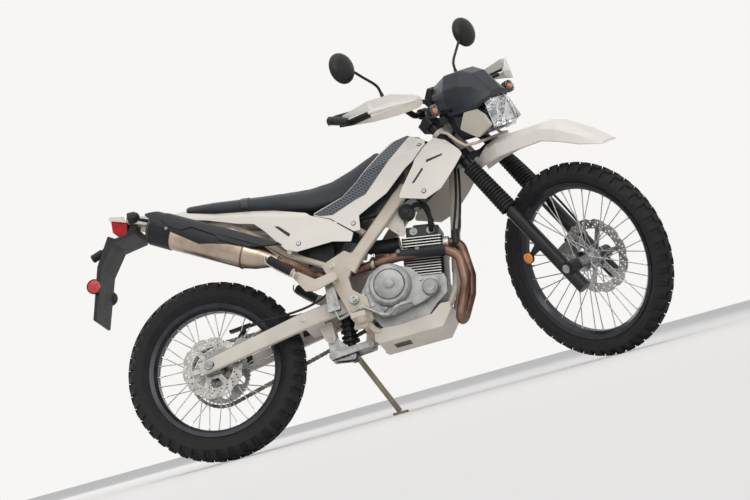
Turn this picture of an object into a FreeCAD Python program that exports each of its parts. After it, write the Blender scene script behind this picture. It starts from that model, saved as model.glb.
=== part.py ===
import FreeCAD, Part
import math
import os

# Dual sport motorcycle, 230 cc class, parked on its side stand at full right lock.
# Every piece is drawn on the upright machine, wheels straight: X forward from the rear axle,
# Y to the left, Z up from the ground. place() then turns the front end to its lock, leans the
# whole machine on its stand and brings the origin under its middle. Millimetres and degrees.

V = FreeCAD.Vector

# Chassis geometry
WHEELBASE = 1380.0
RAKE = 27.5
TRAIL = 116.0
LEAN = 13.5
LOCK = 41.0

# Wheels: outside radius, width and crown arc of each tyre, bead seat and half width of each rim
REAR_RADIUS, REAR_WIDTH, REAR_CROWN, REAR_SEAT, REAR_RIM_HALF = 325.0, 104.0, 60.0, 228.6, 34.0
FRONT_RADIUS, FRONT_WIDTH, FRONT_CROWN, FRONT_SEAT, FRONT_RIM_HALF = 345.0, 78.0, 44.0, 266.7, 26.0
FLANGE = 12.0
# Tread: blocks round each tyre, their height, and the groove between the middle and shoulder rows
REAR_PITCHES, FRONT_PITCHES = 42, 46
BLOCK_HEIGHT = 7.0
BLOCK_MIDDLE, BLOCK_SHOULDER = 17.0, 25.0
RIM_DEPTH = 14.0
SPOKES = 36
SPOKE_RADIUS = 1.9
RUN = 0.3
AXLE_RADIUS = 9.0

# Rear suspension and chain line
BEAM_Y = 94.0
BEAM_WIDTH = 24.0
PIVOT_X, PIVOT_Z = 557.0, 408.0
CHAIN_Y = 66.0
CHAIN_PITCH = 15.875
CHAIN_HALF = 8.0
ROLLER_RADIUS = 5.1
REAR_TEETH, DRIVE_TEETH = 45, 14
DRIVE_X, DRIVE_Z = 640.0, 402.0

# Rear suspension links: their pins, and half the width of the rocker and of the shock's eyes
LINK_REAR, LINK_TIE, LINK_SHOCK, LINK_FRAME = (V(428, 0, 317), V(424, 0, 256), V(489, 0, 242), V(559, 0, 265))
SHOCK_TOP = V(508, 0, 600)
LINK_PIN, SHOCK_PIN = 7.0, 6.0
ROCKER_HALF, SHOCK_EYE = 24.0, 17.0
CROSS_TOP = V(585, 0, 566)

# Brakes
REAR_DISC_RADIUS, FRONT_DISC_RADIUS = 110.0, 132.5
REAR_DISC_Y, FRONT_DISC_Y = -62.0, 58.0
DISC_THICK = 4.0
PAD_GAP = 2.5

# Fork and bars
LEG_Y = 95.0
LEG_OFFSET = 36.0
STANCHION_RADIUS = 18.5
SLIDER_RADIUS = 24.0
LEG_LOW, BOOT_LOW, BOOT_HIGH, LEG_TOP = 282.0, 672.0, 884.0, 1122.0
CLAMP_LOW, CLAMP_HIGH = 912.0, 1086.0
CLAMP_THICK = 34.0
STEM_RADIUS = 15.0
BAR_RADIUS = 11.1
BAR_HALF = 396.0
BAR_UP, BAR_AHEAD = 1166.0, 12.0
RISER_Y = 46.0

# Engine
CASE_HALF = 84.0
CYLINDER_TILT = 10.0
COVER_RIM = 16.5
PIPE_RADIUS = 17.0
PORT_RADIUS = 22.0
MUFFLER_RADIUS = 58.0
SKID_HALF, SKID_LOW = 96.0, 240.0
# Room between the tank and the frame rails that pass through it
TUNNEL = 3.0

# Side stand: where it hangs on the frame, and where its foot stands
STAND_PIVOT = V(481.0, 104.0, 277.0)
STAND_FOOT_X, STAND_FOOT_Y = 568.0, 236.0
STAND_AXIS = V(0.0, 0.921, 0.389)
STAND_FOLD = 108.0

WALL = 3.0
SIGNAL_RADIUS = 22.0

SIN_RAKE, COS_RAKE = math.sin(math.radians(RAKE)), math.cos(math.radians(RAKE))
SIN_LEAN, COS_LEAN = math.sin(math.radians(LEAN)), math.cos(math.radians(LEAN))
SIN_LOCK, COS_LOCK = math.sin(math.radians(LOCK)), math.cos(math.radians(LOCK))
STEER_FOOT = V(WHEELBASE + TRAIL, 0.0, 0.0)
STEER_AXIS = V(-SIN_RAKE, 0.0, COS_RAKE)
STEER_AHEAD = V(COS_RAKE, 0.0, SIN_RAKE)
REAR_AXLE_Z = REAR_RADIUS - REAR_CROWN + REAR_CROWN / COS_LEAN
AXLE_OFFSET = FRONT_RADIUS * SIN_RAKE - TRAIL * COS_RAKE


def front_axle_height():
    """Distance up the steering axis at which the turned and leaned front tyre just stands."""
    tilt = SIN_RAKE * SIN_LOCK * COS_LEAN - COS_LOCK * SIN_LEAN
    centre = (FRONT_RADIUS - FRONT_CROWN) * math.sqrt(1.0 - tilt ** 2) + FRONT_CROWN
    ahead = AXLE_OFFSET * (COS_LOCK * SIN_RAKE * COS_LEAN + SIN_LOCK * SIN_LEAN)
    return (centre - ahead) / (COS_RAKE * COS_LEAN)


FRONT_AXLE_UP = front_axle_height()


def fork(up, ahead=0.0, y=0.0):
    """A point of the front end, by its height along the steering axis and distance ahead."""
    return STEER_FOOT + STEER_AXIS * up + STEER_AHEAD * ahead + V(0.0, y, 0.0)


FRONT_AXLE = fork(FRONT_AXLE_UP, AXLE_OFFSET)
REAR_AXLE = V(0.0, 0.0, REAR_AXLE_Z)


def corner(before, point, after, radius):
    """Start, middle and end of the tangent arc at a corner, no longer than its sides allow."""
    back, on = before - point, after - point
    room = 0.45 * min(back.Length, on.Length)
    back.normalize()
    on.normalize()
    half = back.getAngle(on) / 2.0
    reach = min(radius / math.tan(half), room)
    across = reach * math.tan(half)
    middle = point + (back + on).normalize() * (across / math.sin(half) - across)
    return point + back * reach, middle, point + on * reach


def outline(points, radius=0.0):
    """A closed flat wire with rounded corners. radius is one number or one for each corner."""
    count = len(points)
    if radius == 0.0:
        return Part.makePolygon(points + [points[0]])
    radii = radius if isinstance(radius, (list, tuple)) else [radius] * count
    arcs = [corner(points[i - 1], points[i], points[(i + 1) % count], radii[i]) for i in range(count)]
    edges = []
    for i in range(count):
        edges.append(Part.Arc(*arcs[i]).toShape())
        edges.append(Part.LineSegment(arcs[i][2], arcs[(i + 1) % count][0]).toShape())
    return Part.Wire(edges)


def plate(points, y_from, y_to, radius=0.0):
    """A side view outline, given as (x, z), as a plate between two widths."""
    flat = [V(x, y_from, z) for x, z in points]
    return Part.Face(outline(flat, radius)).extrude(V(0.0, y_to - y_from, 0.0))


def route(points, bend):
    """An open wire of straight runs joined by tangent arcs."""
    edges = []
    last = points[0]
    for i in range(1, len(points) - 1):
        start, middle, end = corner(points[i - 1], points[i], points[i + 1], bend)
        edges.append(Part.LineSegment(last, start).toShape())
        edges.append(Part.Arc(start, middle, end).toShape())
        last = end
    edges.append(Part.LineSegment(last, points[-1]).toShape())
    return Part.Wire(edges)


def rod(start, end, radius):
    """A round bar between two points."""
    run = end - start
    return Part.makeCylinder(radius, run.Length, start, run)


def tube(rows, radius, bend, wall=0.0):
    """A bent tube through (x, y, z) rows."""
    points = [V(*row) for row in rows]
    spine = route(points, bend)
    solid = spine.makePipeShell([Part.Wire(Part.makeCircle(radius, points[0], points[1] - points[0]))], True)
    if wall:
        inner = Part.Wire(Part.makeCircle(radius - wall, points[0], points[1] - points[0]))
        solid = solid.cut(spine.makePipeShell([inner], True))
    return solid


def turned(profile, centre, axis=V(0.0, 1.0, 0.0), closed=True):
    """A solid of revolution. Each profile row is (distance along the axis, radius)."""
    across = V(0.0, 0.0, 1.0)
    if abs(axis.dot(across)) > 0.9 * axis.Length:
        across = V(1.0, 0.0, 0.0)
    along = V(axis).normalize()
    out = along.cross(across).normalize()
    points = [centre + along * s + out * r for s, r in profile]
    wire = Part.makePolygon(points + [points[0]])
    return Part.Face(wire).revolve(centre, along, 360)


def beam(rows, radius=4.0, cap=True):
    """A box section through (x, y, z, width, height) rows, each square to its run in side view."""
    wires = []
    for i, (x, y, z, width, height) in enumerate(rows):
        a = rows[max(i - 1, 0)]
        b = rows[min(i + 1, len(rows) - 1)]
        run = V(b[0] - a[0], 0.0, b[2] - a[2]).normalize()
        up = V(-run.z, 0.0, run.x)
        side = V(0.0, 1.0, 0.0)
        centre = V(x, y, z)
        ring = [centre + side * (sy * width / 2.0) + up * (su * height / 2.0)
                for sy, su in ((-1, -1), (1, -1), (1, 1), (-1, 1))]
        wires.append(outline(ring, radius))
    return Part.makeLoft(wires, True, True)


def body_loft(rows, inset=0.0):
    """A hull through cross sections at (x, z low, z high, half width low, half width high)."""
    wires = []
    for x, low, high, wide_low, wide_high in rows:
        low, high = low + inset, high - inset
        wide_low, wide_high = wide_low - inset, wide_high - inset
        shoulder = high - 0.35 * (high - low)
        ring = [V(x, -wide_low, low), V(x, wide_low, low), V(x, wide_high, shoulder),
                V(x, 0.55 * wide_high, high), V(x, -0.55 * wide_high, high), V(x, -wide_high, shoulder)]
        wires.append(outline(ring, 14.0))
    return Part.makeLoft(wires, True, True)


def both(shape):
    """The piece and its mirror image on the other side."""
    return [shape, shape.mirror(V(0, 0, 0), V(0, 1, 0))]


def join(shapes):
    """One solid of pieces that meet."""
    flat = []
    for shape in shapes:
        flat.extend(shape if isinstance(shape, list) else [shape])
    if len(flat) == 1:
        return flat[0]
    return flat[0].multiFuse(flat[1:]).removeSplitter()


def group(shapes):
    """Like pieces on one body that don't touch."""
    flat = []
    for shape in shapes:
        flat.extend(shape if isinstance(shape, list) else [shape])
    return Part.makeCompound(flat)


# Wheels

def tyre(centre, radius, width, crown, seat, rim_half, down, pitches):
    """A block tread tyre, seated in its rim. down is the way to the ground from its centre.

    Half of each pitch carries the middle block and half the two shoulder blocks."""
    half = width / 2.0
    hub_of_crown = radius - crown
    edge = math.degrees(math.asin((half - 4.0) / crown))
    tread_edge = hub_of_crown + crown * math.cos(math.radians(edge))
    bead = rim_half - 3.5 - RUN
    flange = seat + FLANGE
    turn = math.pi / pitches
    flat = 1.0 / math.cos(turn / 2.0)

    def across(angle, depth):
        reach = crown - depth
        return reach * math.sin(math.radians(angle)), hub_of_crown + reach * math.cos(math.radians(angle))

    def half_section(middle, shoulder):
        low_m = 0.0 if middle else BLOCK_HEIGHT
        low_s = 0.0 if shoulder else BLOCK_HEIGHT
        return [across(0.0, low_m), across(BLOCK_MIDDLE, low_m), across(BLOCK_MIDDLE, BLOCK_HEIGHT),
                across(BLOCK_SHOULDER, BLOCK_HEIGHT), across(BLOCK_SHOULDER, low_s), across(edge, low_s),
                (half, tread_edge - 13.0), (half - 3.0, (tread_edge + flange) / 2.0 - 6.0), (bead, flange),
                (bead, seat + RUN)]

    start = math.atan2(-down.x, -down.z) + math.pi - turn / 2.0

    def ring(rows, i):
        angle = start + i * turn
        return [centre + V(flat * r * math.sin(angle), y, flat * r * math.cos(angle)) for y, r in rows]

    def whole(rows):
        return rows + [(-y, r) for y, r in reversed(rows[1:])]

    kinds = [whole(half_section(True, False)), whole(half_section(False, True))]
    faces = []
    for i in range(2 * pitches):
        here, there = ring(kinds[i % 2], i), ring(kinds[i % 2], i + 1)
        count = len(here)
        for j in range(count):
            k = (j + 1) % count
            if (here[j] - here[k]).Length > 0.01:
                faces.append(Part.Face(outline([here[j], here[k], there[k], there[j]])))
        other = ring(kinds[(i + 1) % 2], i + 1)
        for first, last in ((-1, 1), (4, 6), (count - 6, count - 4)):
            spots = range(first, last + 1)
            wall = [there[j % count] for j in spots]
            back = [other[j % count] for j in reversed(spots)]
            faces.append(Part.Face(outline(wall + [p for p in back if min((p - q).Length for q in wall) > 0.01])))
    shell = Part.makeShell(faces)
    shell.sewShape()
    return Part.makeSolid(Part.Shell(shell.Faces))


def rim(centre, seat, half):
    """A rolled rim: flanges, bead seats and a well, with its inner face where the spokes end."""
    side = [(half, seat + FLANGE), (half - 3.5, seat + FLANGE), (half - 3.5, seat), (10, seat), (8, seat - 7)]
    under = [(half - 2, seat + FLANGE - 7), (half - 4, seat - 3), (half - 16, seat - RIM_DEPTH)]
    top = side + [(-y, r) for y, r in reversed(side)]
    bottom = [(-y, r) for y, r in under] + list(reversed(under))
    return turned(top + bottom, centre)


def spoke_set(centre, seat, flange_y, flange_radius, cross):
    """Laced spokes from both hub flanges to the rim, leading ones outside and trailing inside."""
    pieces = []
    for i in range(SPOKES):
        at_rim = 2.0 * math.pi * i / SPOKES
        side = 1 if i % 2 else -1
        lead = 1 if (i // 2) % 2 else -1
        at_hub = at_rim + lead * math.radians(cross)
        y_hub = side * (flange_y + lead * 3.0)
        hub = centre + V(flange_radius * math.cos(at_hub), y_hub, flange_radius * math.sin(at_hub))
        end = seat - RIM_DEPTH - RUN
        rim_point = centre + V(end * math.cos(at_rim), side * 7.0, end * math.sin(at_rim))
        pieces.append(rod(hub, rim_point, SPOKE_RADIUS))
    return pieces


def hub(centre, half, barrel, flange_y, flange_radius, bore, ends):
    """A spool hub with two spoke flanges and a bore for its axle."""
    profile = [(-half, bore), (-half, ends), (-flange_y - 5, ends), (-flange_y - 5, flange_radius),
               (-flange_y + 5, flange_radius), (-flange_y + 9, barrel), (flange_y - 9, barrel),
               (flange_y - 5, flange_radius), (flange_y + 5, flange_radius), (flange_y + 5, ends),
               (half, ends), (half, bore)]
    return turned(profile, centre)


def disc(centre, y, radius, inner, waves, holes, bore):
    """A wave brake disc with drilled braking face and carrier arms, seated on its hub."""
    middle = centre + V(0, y - DISC_THICK / 2, 0)
    solid = Part.makeCylinder(radius, DISC_THICK, middle, V(0, 1, 0))
    cutters = [Part.makeCylinder(inner, DISC_THICK, middle, V(0, 1, 0))]
    for i in range(waves):
        angle = 2.0 * math.pi * (i + 0.5) / waves
        where = middle + V((radius + 22) * math.cos(angle), 0, (radius + 22) * math.sin(angle))
        cutters.append(Part.makeCylinder(27.0, DISC_THICK, where, V(0, 1, 0)))
    for i in range(holes):
        angle = 2.0 * math.pi * i / holes
        for j in range(3):
            r = radius - 10 - 9 * j
            turn = angle + 0.09 * j
            where = middle + V(r * math.cos(turn), 0, r * math.sin(turn))
            cutters.append(Part.makeCylinder(3.4, DISC_THICK, where, V(0, 1, 0)))
    arms = []
    for i in range(6):
        angle = 2.0 * math.pi * i / 6
        tip = middle + V(1, 0, 0) * ((inner + 4) * math.cos(angle)) + V(0, 0, 1) * ((inner + 4) * math.sin(angle))
        foot = middle + V(1, 0, 0) * (30 * math.cos(angle)) + V(0, 0, 1) * (30 * math.sin(angle))
        across = V(-math.sin(angle), 0, math.cos(angle)) * 9.0
        ring = [foot - across, tip - across, tip + across, foot + across]
        arms.append(Part.Face(outline(ring)).extrude(V(0, DISC_THICK, 0)))
    arms.append(Part.makeCylinder(40.0, DISC_THICK, middle, V(0, 1, 0)))
    hole = Part.makeCylinder(bore, DISC_THICK, middle, V(0, 1, 0))
    return join([solid.cut(cutters), arms]).cut(hole)


def pitch_radius(teeth):
    return CHAIN_PITCH / (2.0 * math.sin(math.pi / teeth))


def sprocket(centre, y, teeth, tip, bore, thick=7.0):
    """A toothed wheel whose tips stay inside the rollers of its chain."""
    points = []
    for i in range(teeth):
        for share, radius in ((0.0, tip), (0.28, tip - 4.5), (0.72, tip - 4.5)):
            angle = 2.0 * math.pi * (i + share) / teeth
            points.append(centre + V(radius * math.cos(angle), y - thick / 2, radius * math.sin(angle)))
    solid = Part.Face(outline(points)).extrude(V(0, thick, 0))
    return solid.cut(Part.makeCylinder(bore, thick, centre + V(0, y - thick / 2, 0), V(0, 1, 0)))


def make_rear_tyre():
    return tyre(REAR_AXLE, REAR_RADIUS, REAR_WIDTH, REAR_CROWN, REAR_SEAT, REAR_RIM_HALF, V(0, 0, -1), REAR_PITCHES)


def make_rear_rim():
    return rim(REAR_AXLE, REAR_SEAT, REAR_RIM_HALF)


REAR_HUB_HALF = 66.0
REAR_FLANGE_Y, REAR_FLANGE_RADIUS = 28.0, 46.0
HUB_END = 29.0
SPACER_RADIUS = 17.0


def make_rear_hub():
    spool = hub(REAR_AXLE, REAR_HUB_HALF, 30.0, REAR_FLANGE_Y, REAR_FLANGE_RADIUS,
                AXLE_RADIUS + RUN, HUB_END)
    return join([spool, spoke_set(REAR_AXLE, REAR_SEAT, REAR_FLANGE_Y, REAR_FLANGE_RADIUS - 5, 52.0)])


def make_rear_disc():
    return disc(REAR_AXLE, REAR_DISC_Y, REAR_DISC_RADIUS, 74.0, 10, 20, HUB_END + RUN)


def make_rear_sprocket():
    tip = pitch_radius(REAR_TEETH) - ROLLER_RADIUS - 2.0
    ring = sprocket(REAR_AXLE, CHAIN_Y, REAR_TEETH, tip, HUB_END + RUN)
    low = REAR_AXLE + V(0, CHAIN_Y - 4, 0)
    windows = []
    for i in range(6):
        angle = math.radians(60 * i + 30)
        where = low + V(70 * math.cos(angle), 0, 70 * math.sin(angle))
        windows.append(Part.makeCylinder(19.0, 8.0, where, V(0, 1, 0)))
    return ring.cut(windows)


def make_front_tyre():
    down = FreeCAD.Rotation(V(1, 0, 0), LEAN).multVec(V(0, 0, -1))
    down = FreeCAD.Rotation(STEER_AXIS, LOCK).multVec(down)
    return tyre(FRONT_AXLE, FRONT_RADIUS, FRONT_WIDTH, FRONT_CROWN, FRONT_SEAT, FRONT_RIM_HALF, down, FRONT_PITCHES)


def make_front_rim():
    return rim(FRONT_AXLE, FRONT_SEAT, FRONT_RIM_HALF)


FRONT_HUB_HALF = 58.0
FRONT_HUB_END = 20.0


def make_front_hub():
    spool = hub(FRONT_AXLE, FRONT_HUB_HALF, 22.0, 26.0, 36.0, AXLE_RADIUS + RUN, FRONT_HUB_END)
    return join([spool, spoke_set(FRONT_AXLE, FRONT_SEAT, 26.0, 31.0, 46.0)])


def make_front_disc():
    return disc(FRONT_AXLE, FRONT_DISC_Y - 6.0, FRONT_DISC_RADIUS, 98.0, 12, 24, FRONT_HUB_END + RUN)


# Rear end

# Swingarm beam, one side: x, y, z, width, height
BEAM_ROWS = [(-34, BEAM_Y, 321, BEAM_WIDTH, 44), (52, BEAM_Y, 336, BEAM_WIDTH, 50),
             (341, BEAM_Y, 387, BEAM_WIDTH, 58), (470, BEAM_Y - 4, 404, BEAM_WIDTH, 56),
             (PIVOT_X + 18, BEAM_Y - 14, PIVOT_Z, BEAM_WIDTH, 46)]


def make_swingarm():
    sides = both(beam(BEAM_ROWS, 6.0))
    cross = beam([(352, 0, 392, 2 * BEAM_Y, 50), (420, 0, 400, 2 * BEAM_Y, 50)], 8.0)
    boss = rod(V(PIVOT_X, -BEAM_Y + 4, PIVOT_Z), V(PIVOT_X, BEAM_Y - 4, PIVOT_Z), 24.0)
    bore = rod(V(PIVOT_X, -BEAM_Y - 20, PIVOT_Z), V(PIVOT_X, BEAM_Y + 20, PIVOT_Z), AXLE_RADIUS + RUN)
    ears = both(plate([(392, 380), (446, 380), (446, LINK_REAR.z), (436, LINK_REAR.z - 12),
                       (420, LINK_REAR.z - 12), (410, LINK_REAR.z)], ROCKER_HALF + RUN, ROCKER_HALF + 8, 6))
    pin = rod(LINK_REAR - V(0, 60, 0), LINK_REAR + V(0, 60, 0), LINK_PIN + RUN)
    room = AXLE_RADIUS + 0.6
    slot = plate([(-18, REAR_AXLE_Z - room), (18, REAR_AXLE_Z - room), (18, REAR_AXLE_Z + room),
                  (-18, REAR_AXLE_Z + room)], -130, 130, AXLE_RADIUS)
    well = rod(V(0, -BEAM_Y + 12, REAR_AXLE_Z), V(0, BEAM_Y - 12, REAR_AXLE_Z), REAR_RADIUS + 12)
    return join([sides, cross.cut(well), boss, ears]).cut([bore, slot, pin])


def make_rear_axle():
    end = BEAM_Y + BEAM_WIDTH / 2 + RUN
    bar = rod(V(0, -end - 14, REAR_AXLE_Z), V(0, end + 14, REAR_AXLE_Z), AXLE_RADIUS)
    pieces = [bar]
    for side in (-1, 1):
        spacer_from = V(0, side * (REAR_HUB_HALF + RUN), REAR_AXLE_Z)
        spacer_to = V(0, side * (BEAM_Y - BEAM_WIDTH / 2 - RUN), REAR_AXLE_Z)
        pieces.append(rod(spacer_from, spacer_to, SPACER_RADIUS))
        hexes = []
        for i in range(6):
            angle = math.radians(60 * i)
            hexes.append(V(17 * math.cos(angle), side * end, REAR_AXLE_Z + 17 * math.sin(angle)))
        pieces.append(Part.Face(outline(hexes)).extrude(V(0, side * 13, 0)))
    return join(pieces)


def make_linkage():
    """Rocker between the swingarm ears, and the two tie bars that hold it to the frame."""
    half = ROCKER_HALF
    cheek = plate([(LINK_REAR.x - 13, LINK_REAR.z + 12), (LINK_REAR.x + 13, LINK_REAR.z + 12),
                   (LINK_SHOCK.x + 16, LINK_SHOCK.z + 8), (LINK_SHOCK.x + 8, LINK_SHOCK.z - 14),
                   (LINK_TIE.x - 12, LINK_TIE.z - 13)], half - 6, half, 8)
    core = both(cheek)
    core += [rod(LINK_REAR - V(0, half + 10, 0), LINK_REAR + V(0, half + 10, 0), LINK_PIN),
             rod(LINK_REAR - V(0, half, 0), LINK_REAR + V(0, half, 0), LINK_PIN + 5),
             rod(LINK_TIE - V(0, half + 20, 0), LINK_TIE + V(0, half + 20, 0), LINK_PIN),
             rod(LINK_SHOCK - V(0, half + 4, 0), LINK_SHOCK + V(0, half + 4, 0), SHOCK_PIN)]
    run = LINK_FRAME - LINK_TIE
    slope = run.z / run.x
    bar = plate([(LINK_TIE.x - 14, LINK_TIE.z - 12), (LINK_FRAME.x + 14, LINK_FRAME.z - 12 + 14 * slope),
                 (LINK_FRAME.x + 14, LINK_FRAME.z + 12 + 14 * slope), (LINK_TIE.x - 14, LINK_TIE.z + 12)],
                half + 10, half + 17, 10)
    bolt = rod(LINK_FRAME - V(0, half + 20, 0), LINK_FRAME + V(0, half + 20, 0), LINK_PIN)
    return join([core, both(bar), bolt])


SHOCK_TURNS = 8


def make_shock():
    """Damper and spring between the rocker and the frame, drawn as one turned body with its two eyes."""
    run = (SHOCK_TOP - LINK_SHOCK).normalize()
    length = (SHOCK_TOP - LINK_SHOCK).Length
    profile = [(16, 0), (16, 15), (52, 15), (54, 31), (62, 31), (64, 23)]
    for i in range(SHOCK_TURNS):
        at = 74 + i * 21.0
        profile += [(at - 6, 23), (at - 3, 31), (at + 3, 31), (at + 6, 23)]
    profile += [(240, 23), (242, 30), (252, 30), (254, 26), (length - 34, 26), (length - 28, 15),
                (length - 16, 15), (length - 16, 0)]
    eyes = []
    for at in (LINK_SHOCK, SHOCK_TOP):
        eyes.append(rod(at - V(0, SHOCK_EYE, 0), at + V(0, SHOCK_EYE, 0), 17.0))
    holes = [rod(at - V(0, 40, 0), at + V(0, 40, 0), SHOCK_PIN + RUN) for at in (LINK_SHOCK, SHOCK_TOP)]
    return join([turned(profile, LINK_SHOCK, run), eyes]).cut(holes)


def chain_line(radius_extra):
    """The closed line of the chain round both sprockets, moved out or in."""
    big = pitch_radius(REAR_TEETH) + radius_extra
    small = pitch_radius(DRIVE_TEETH) + radius_extra
    run = V(DRIVE_X, 0, DRIVE_Z) - REAR_AXLE
    tilt = math.atan2(run.z, run.x)
    lean = math.acos((big - small) / run.Length)
    y = CHAIN_Y

    def at(centre, radius, angle):
        return V(centre.x + radius * math.cos(angle), y, centre.z + radius * math.sin(angle))

    drive = V(DRIVE_X, 0, DRIVE_Z)
    up, down = tilt + lean, tilt - lean
    return Part.Wire([
        Part.Arc(at(REAR_AXLE, big, up), at(REAR_AXLE, big, tilt + math.pi), at(REAR_AXLE, big, down)).toShape(),
        Part.LineSegment(at(REAR_AXLE, big, down), at(drive, small, down)).toShape(),
        Part.Arc(at(drive, small, down), at(drive, small, tilt), at(drive, small, up)).toShape(),
        Part.LineSegment(at(drive, small, up), at(REAR_AXLE, big, up)).toShape()])


def make_chain():
    """Links as one closed band, full at each pin and waisted between."""
    line = chain_line(0.0)
    count = 2 * round(line.Length / CHAIN_PITCH)
    mid = line.discretize(Number=count + 1)[:-1]
    faces = []
    for reach, full, waist in ((1, 7.0, 5.2), (-1, ROLLER_RADIUS, ROLLER_RADIUS - 1.4)):
        points = []
        for i in range(count):
            run = mid[(i + 1) % count] - mid[i - 1]
            out = V(-run.z, 0, run.x).normalize() * (-reach if chain_turns_back(mid) else reach)
            points.append(mid[i] + out * (waist if i % 2 else full))
        faces.append(Part.Face(outline(points)))
    faces.sort(key=lambda face: face.Area)
    band = faces[1].cut(faces[0]).extrude(V(0, 2 * CHAIN_HALF, 0))
    band.translate(V(0, -CHAIN_HALF, 0))
    return band


def make_chain_guard():
    guard = plate([(60, 478), (160, 486), (345, 462), (345, 452), (160, 474), (60, 468)],
                  CHAIN_Y - 6, BEAM_Y - BEAM_WIDTH / 2 - RUN, 3)
    feet = []
    for x, low in ((96, 344), (318, 384)):
        feet.append(plate([(x, low), (x + 22, low), (x + 22, 470), (x, 472)],
                          CHAIN_Y + CHAIN_HALF + 3, BEAM_Y - BEAM_WIDTH / 2 - RUN, 3))
    return join([guard, feet])


def make_rear_brake():
    """Caliper on its bracket, which sits on the axle spacer beside the rear disc."""
    thick = DISC_THICK + 2 * PAD_GAP
    outer = -BEAM_Y + BEAM_WIDTH / 2 + RUN
    body = plate([(96, 330), (150, 346), (158, 388), (118, 404), (78, 372)], outer, REAR_DISC_Y + 12, 8)
    slot = Part.makeCylinder(REAR_DISC_RADIUS + 4, thick, REAR_AXLE + V(0, REAR_DISC_Y - thick / 2, 0),
                             V(0, 1, 0))
    low = REAR_AXLE_Z - 27
    bracket = plate([(-27, low), (27, low), (44, 344), (110, 352), (120, 372), (40, 382), (-12, 368), (-27, 350)],
                    REAR_DISC_Y - 17, REAR_DISC_Y - 9, 6)
    spacer = rod(V(0, -130, REAR_AXLE_Z), V(0, 0, REAR_AXLE_Z), SPACER_RADIUS + RUN)
    return join([body, bracket]).cut([slot, spacer])


# Frame and engine

HEAD_LOW, HEAD_HIGH = CLAMP_LOW + CLAMP_THICK + RUN, CLAMP_HIGH - RUN
# Main rail, right or left: x, y, z, width, height
RAIL_ROWS = [(1016, 26, 900, 36, 70), (930, 64, 850, 32, 60), (786, 88, 733, 30, 46),
             (612, 108, 574, 28, 42), (560, 112, 520, 26, 52)]
PIVOT_PLATE = [(470, 560), (486, 505), (518, 396), (540, 322), (575, 300), (606, 330), (600, 405), (555, 446),
               (552, 492), (600, 560), (560, 590)]
PLATE_Y, PLATE_THICK = 112.0, 22.0


def stand_bracket():
    """Lug and bolt that carry the side stand, with the bolt head that keeps it on."""
    axis = V(STAND_AXIS).normalize()
    bolt = rod(STAND_PIVOT - axis * 34, STAND_PIVOT + axis * 18, 6.0)
    head = rod(STAND_PIVOT + axis * (12 + RUN), STAND_PIVOT + axis * 20, 10.0)
    lug = rod(STAND_PIVOT - axis * (12 + RUN), STAND_PIVOT - axis * 24, 19.0)
    arm = beam([(486, 76, 268, 18, 26), (575, 98, 306, 18, 26)], 4.0)
    return join([bolt, head, lug, arm])


def make_frame():
    head = rod(fork(HEAD_LOW), fork(HEAD_HIGH), 27.0)
    rails = both(beam(RAIL_ROWS, 8.0))
    plates = both(plate(PIVOT_PLATE, PLATE_Y - PLATE_THICK / 2, PLATE_Y + PLATE_THICK / 2, 8))
    down_top = fork(1030, -8)
    down = tube([(down_top.x, 0, down_top.z), (966, 0, 690), (912, 0, 440)], 17.0, 300)
    cross_top = rod(V(CROSS_TOP.x, -PLATE_Y, CROSS_TOP.z), V(CROSS_TOP.x, PLATE_Y, CROSS_TOP.z), 15.0)
    cross_low = rod(V(572, -PLATE_Y, 312), V(572, PLATE_Y, 312), 13.0)
    clevis = both(plate([(CROSS_TOP.x, CROSS_TOP.z - 14), (CROSS_TOP.x + 10, CROSS_TOP.z + 8),
                         (SHOCK_TOP.x + 6, SHOCK_TOP.z + 16), (SHOCK_TOP.x - 14, SHOCK_TOP.z + 10),
                         (SHOCK_TOP.x - 12, SHOCK_TOP.z - 12)], SHOCK_EYE + RUN, SHOCK_EYE + 8, 6))
    shock_pin = rod(SHOCK_TOP - V(0, SHOCK_EYE + 10, 0), SHOCK_TOP + V(0, SHOCK_EYE + 10, 0), SHOCK_PIN)
    lug = both(plate([(560, 318), (586, 312), (LINK_FRAME.x + 14, LINK_FRAME.z - 8),
                      (LINK_FRAME.x - 2, LINK_FRAME.z - 14), (LINK_FRAME.x - 14, LINK_FRAME.z)],
                     ROCKER_HALF, ROCKER_HALF + 10 - RUN, 6))
    bore = rod(fork(HEAD_LOW - 5), fork(HEAD_HIGH + 5), STEM_RADIUS + RUN)
    pivot = rod(V(PIVOT_X, -PLATE_Y - 20, PIVOT_Z), V(PIVOT_X, PLATE_Y + 20, PIVOT_Z), AXLE_RADIUS + RUN)
    tie = rod(LINK_FRAME - V(0, 60, 0), LINK_FRAME + V(0, 60, 0), LINK_PIN + RUN)
    return join([head, rails, plates, down, both(cradle_side(11.0)), cross_top, cross_low, clevis, shock_pin, lug,
                 stand_bracket()]).cut([bore, pivot, tie])


def make_pivot_bolt():
    end = PLATE_Y + PLATE_THICK / 2
    pieces = [rod(V(PIVOT_X, -end - 12, PIVOT_Z), V(PIVOT_X, end + 12, PIVOT_Z), AXLE_RADIUS)]
    for side in (-1, 1):
        pieces.append(rod(V(PIVOT_X, side * (end + RUN), PIVOT_Z), V(PIVOT_X, side * (end + 12), PIVOT_Z), 17.0))
    return join(pieces)


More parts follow.
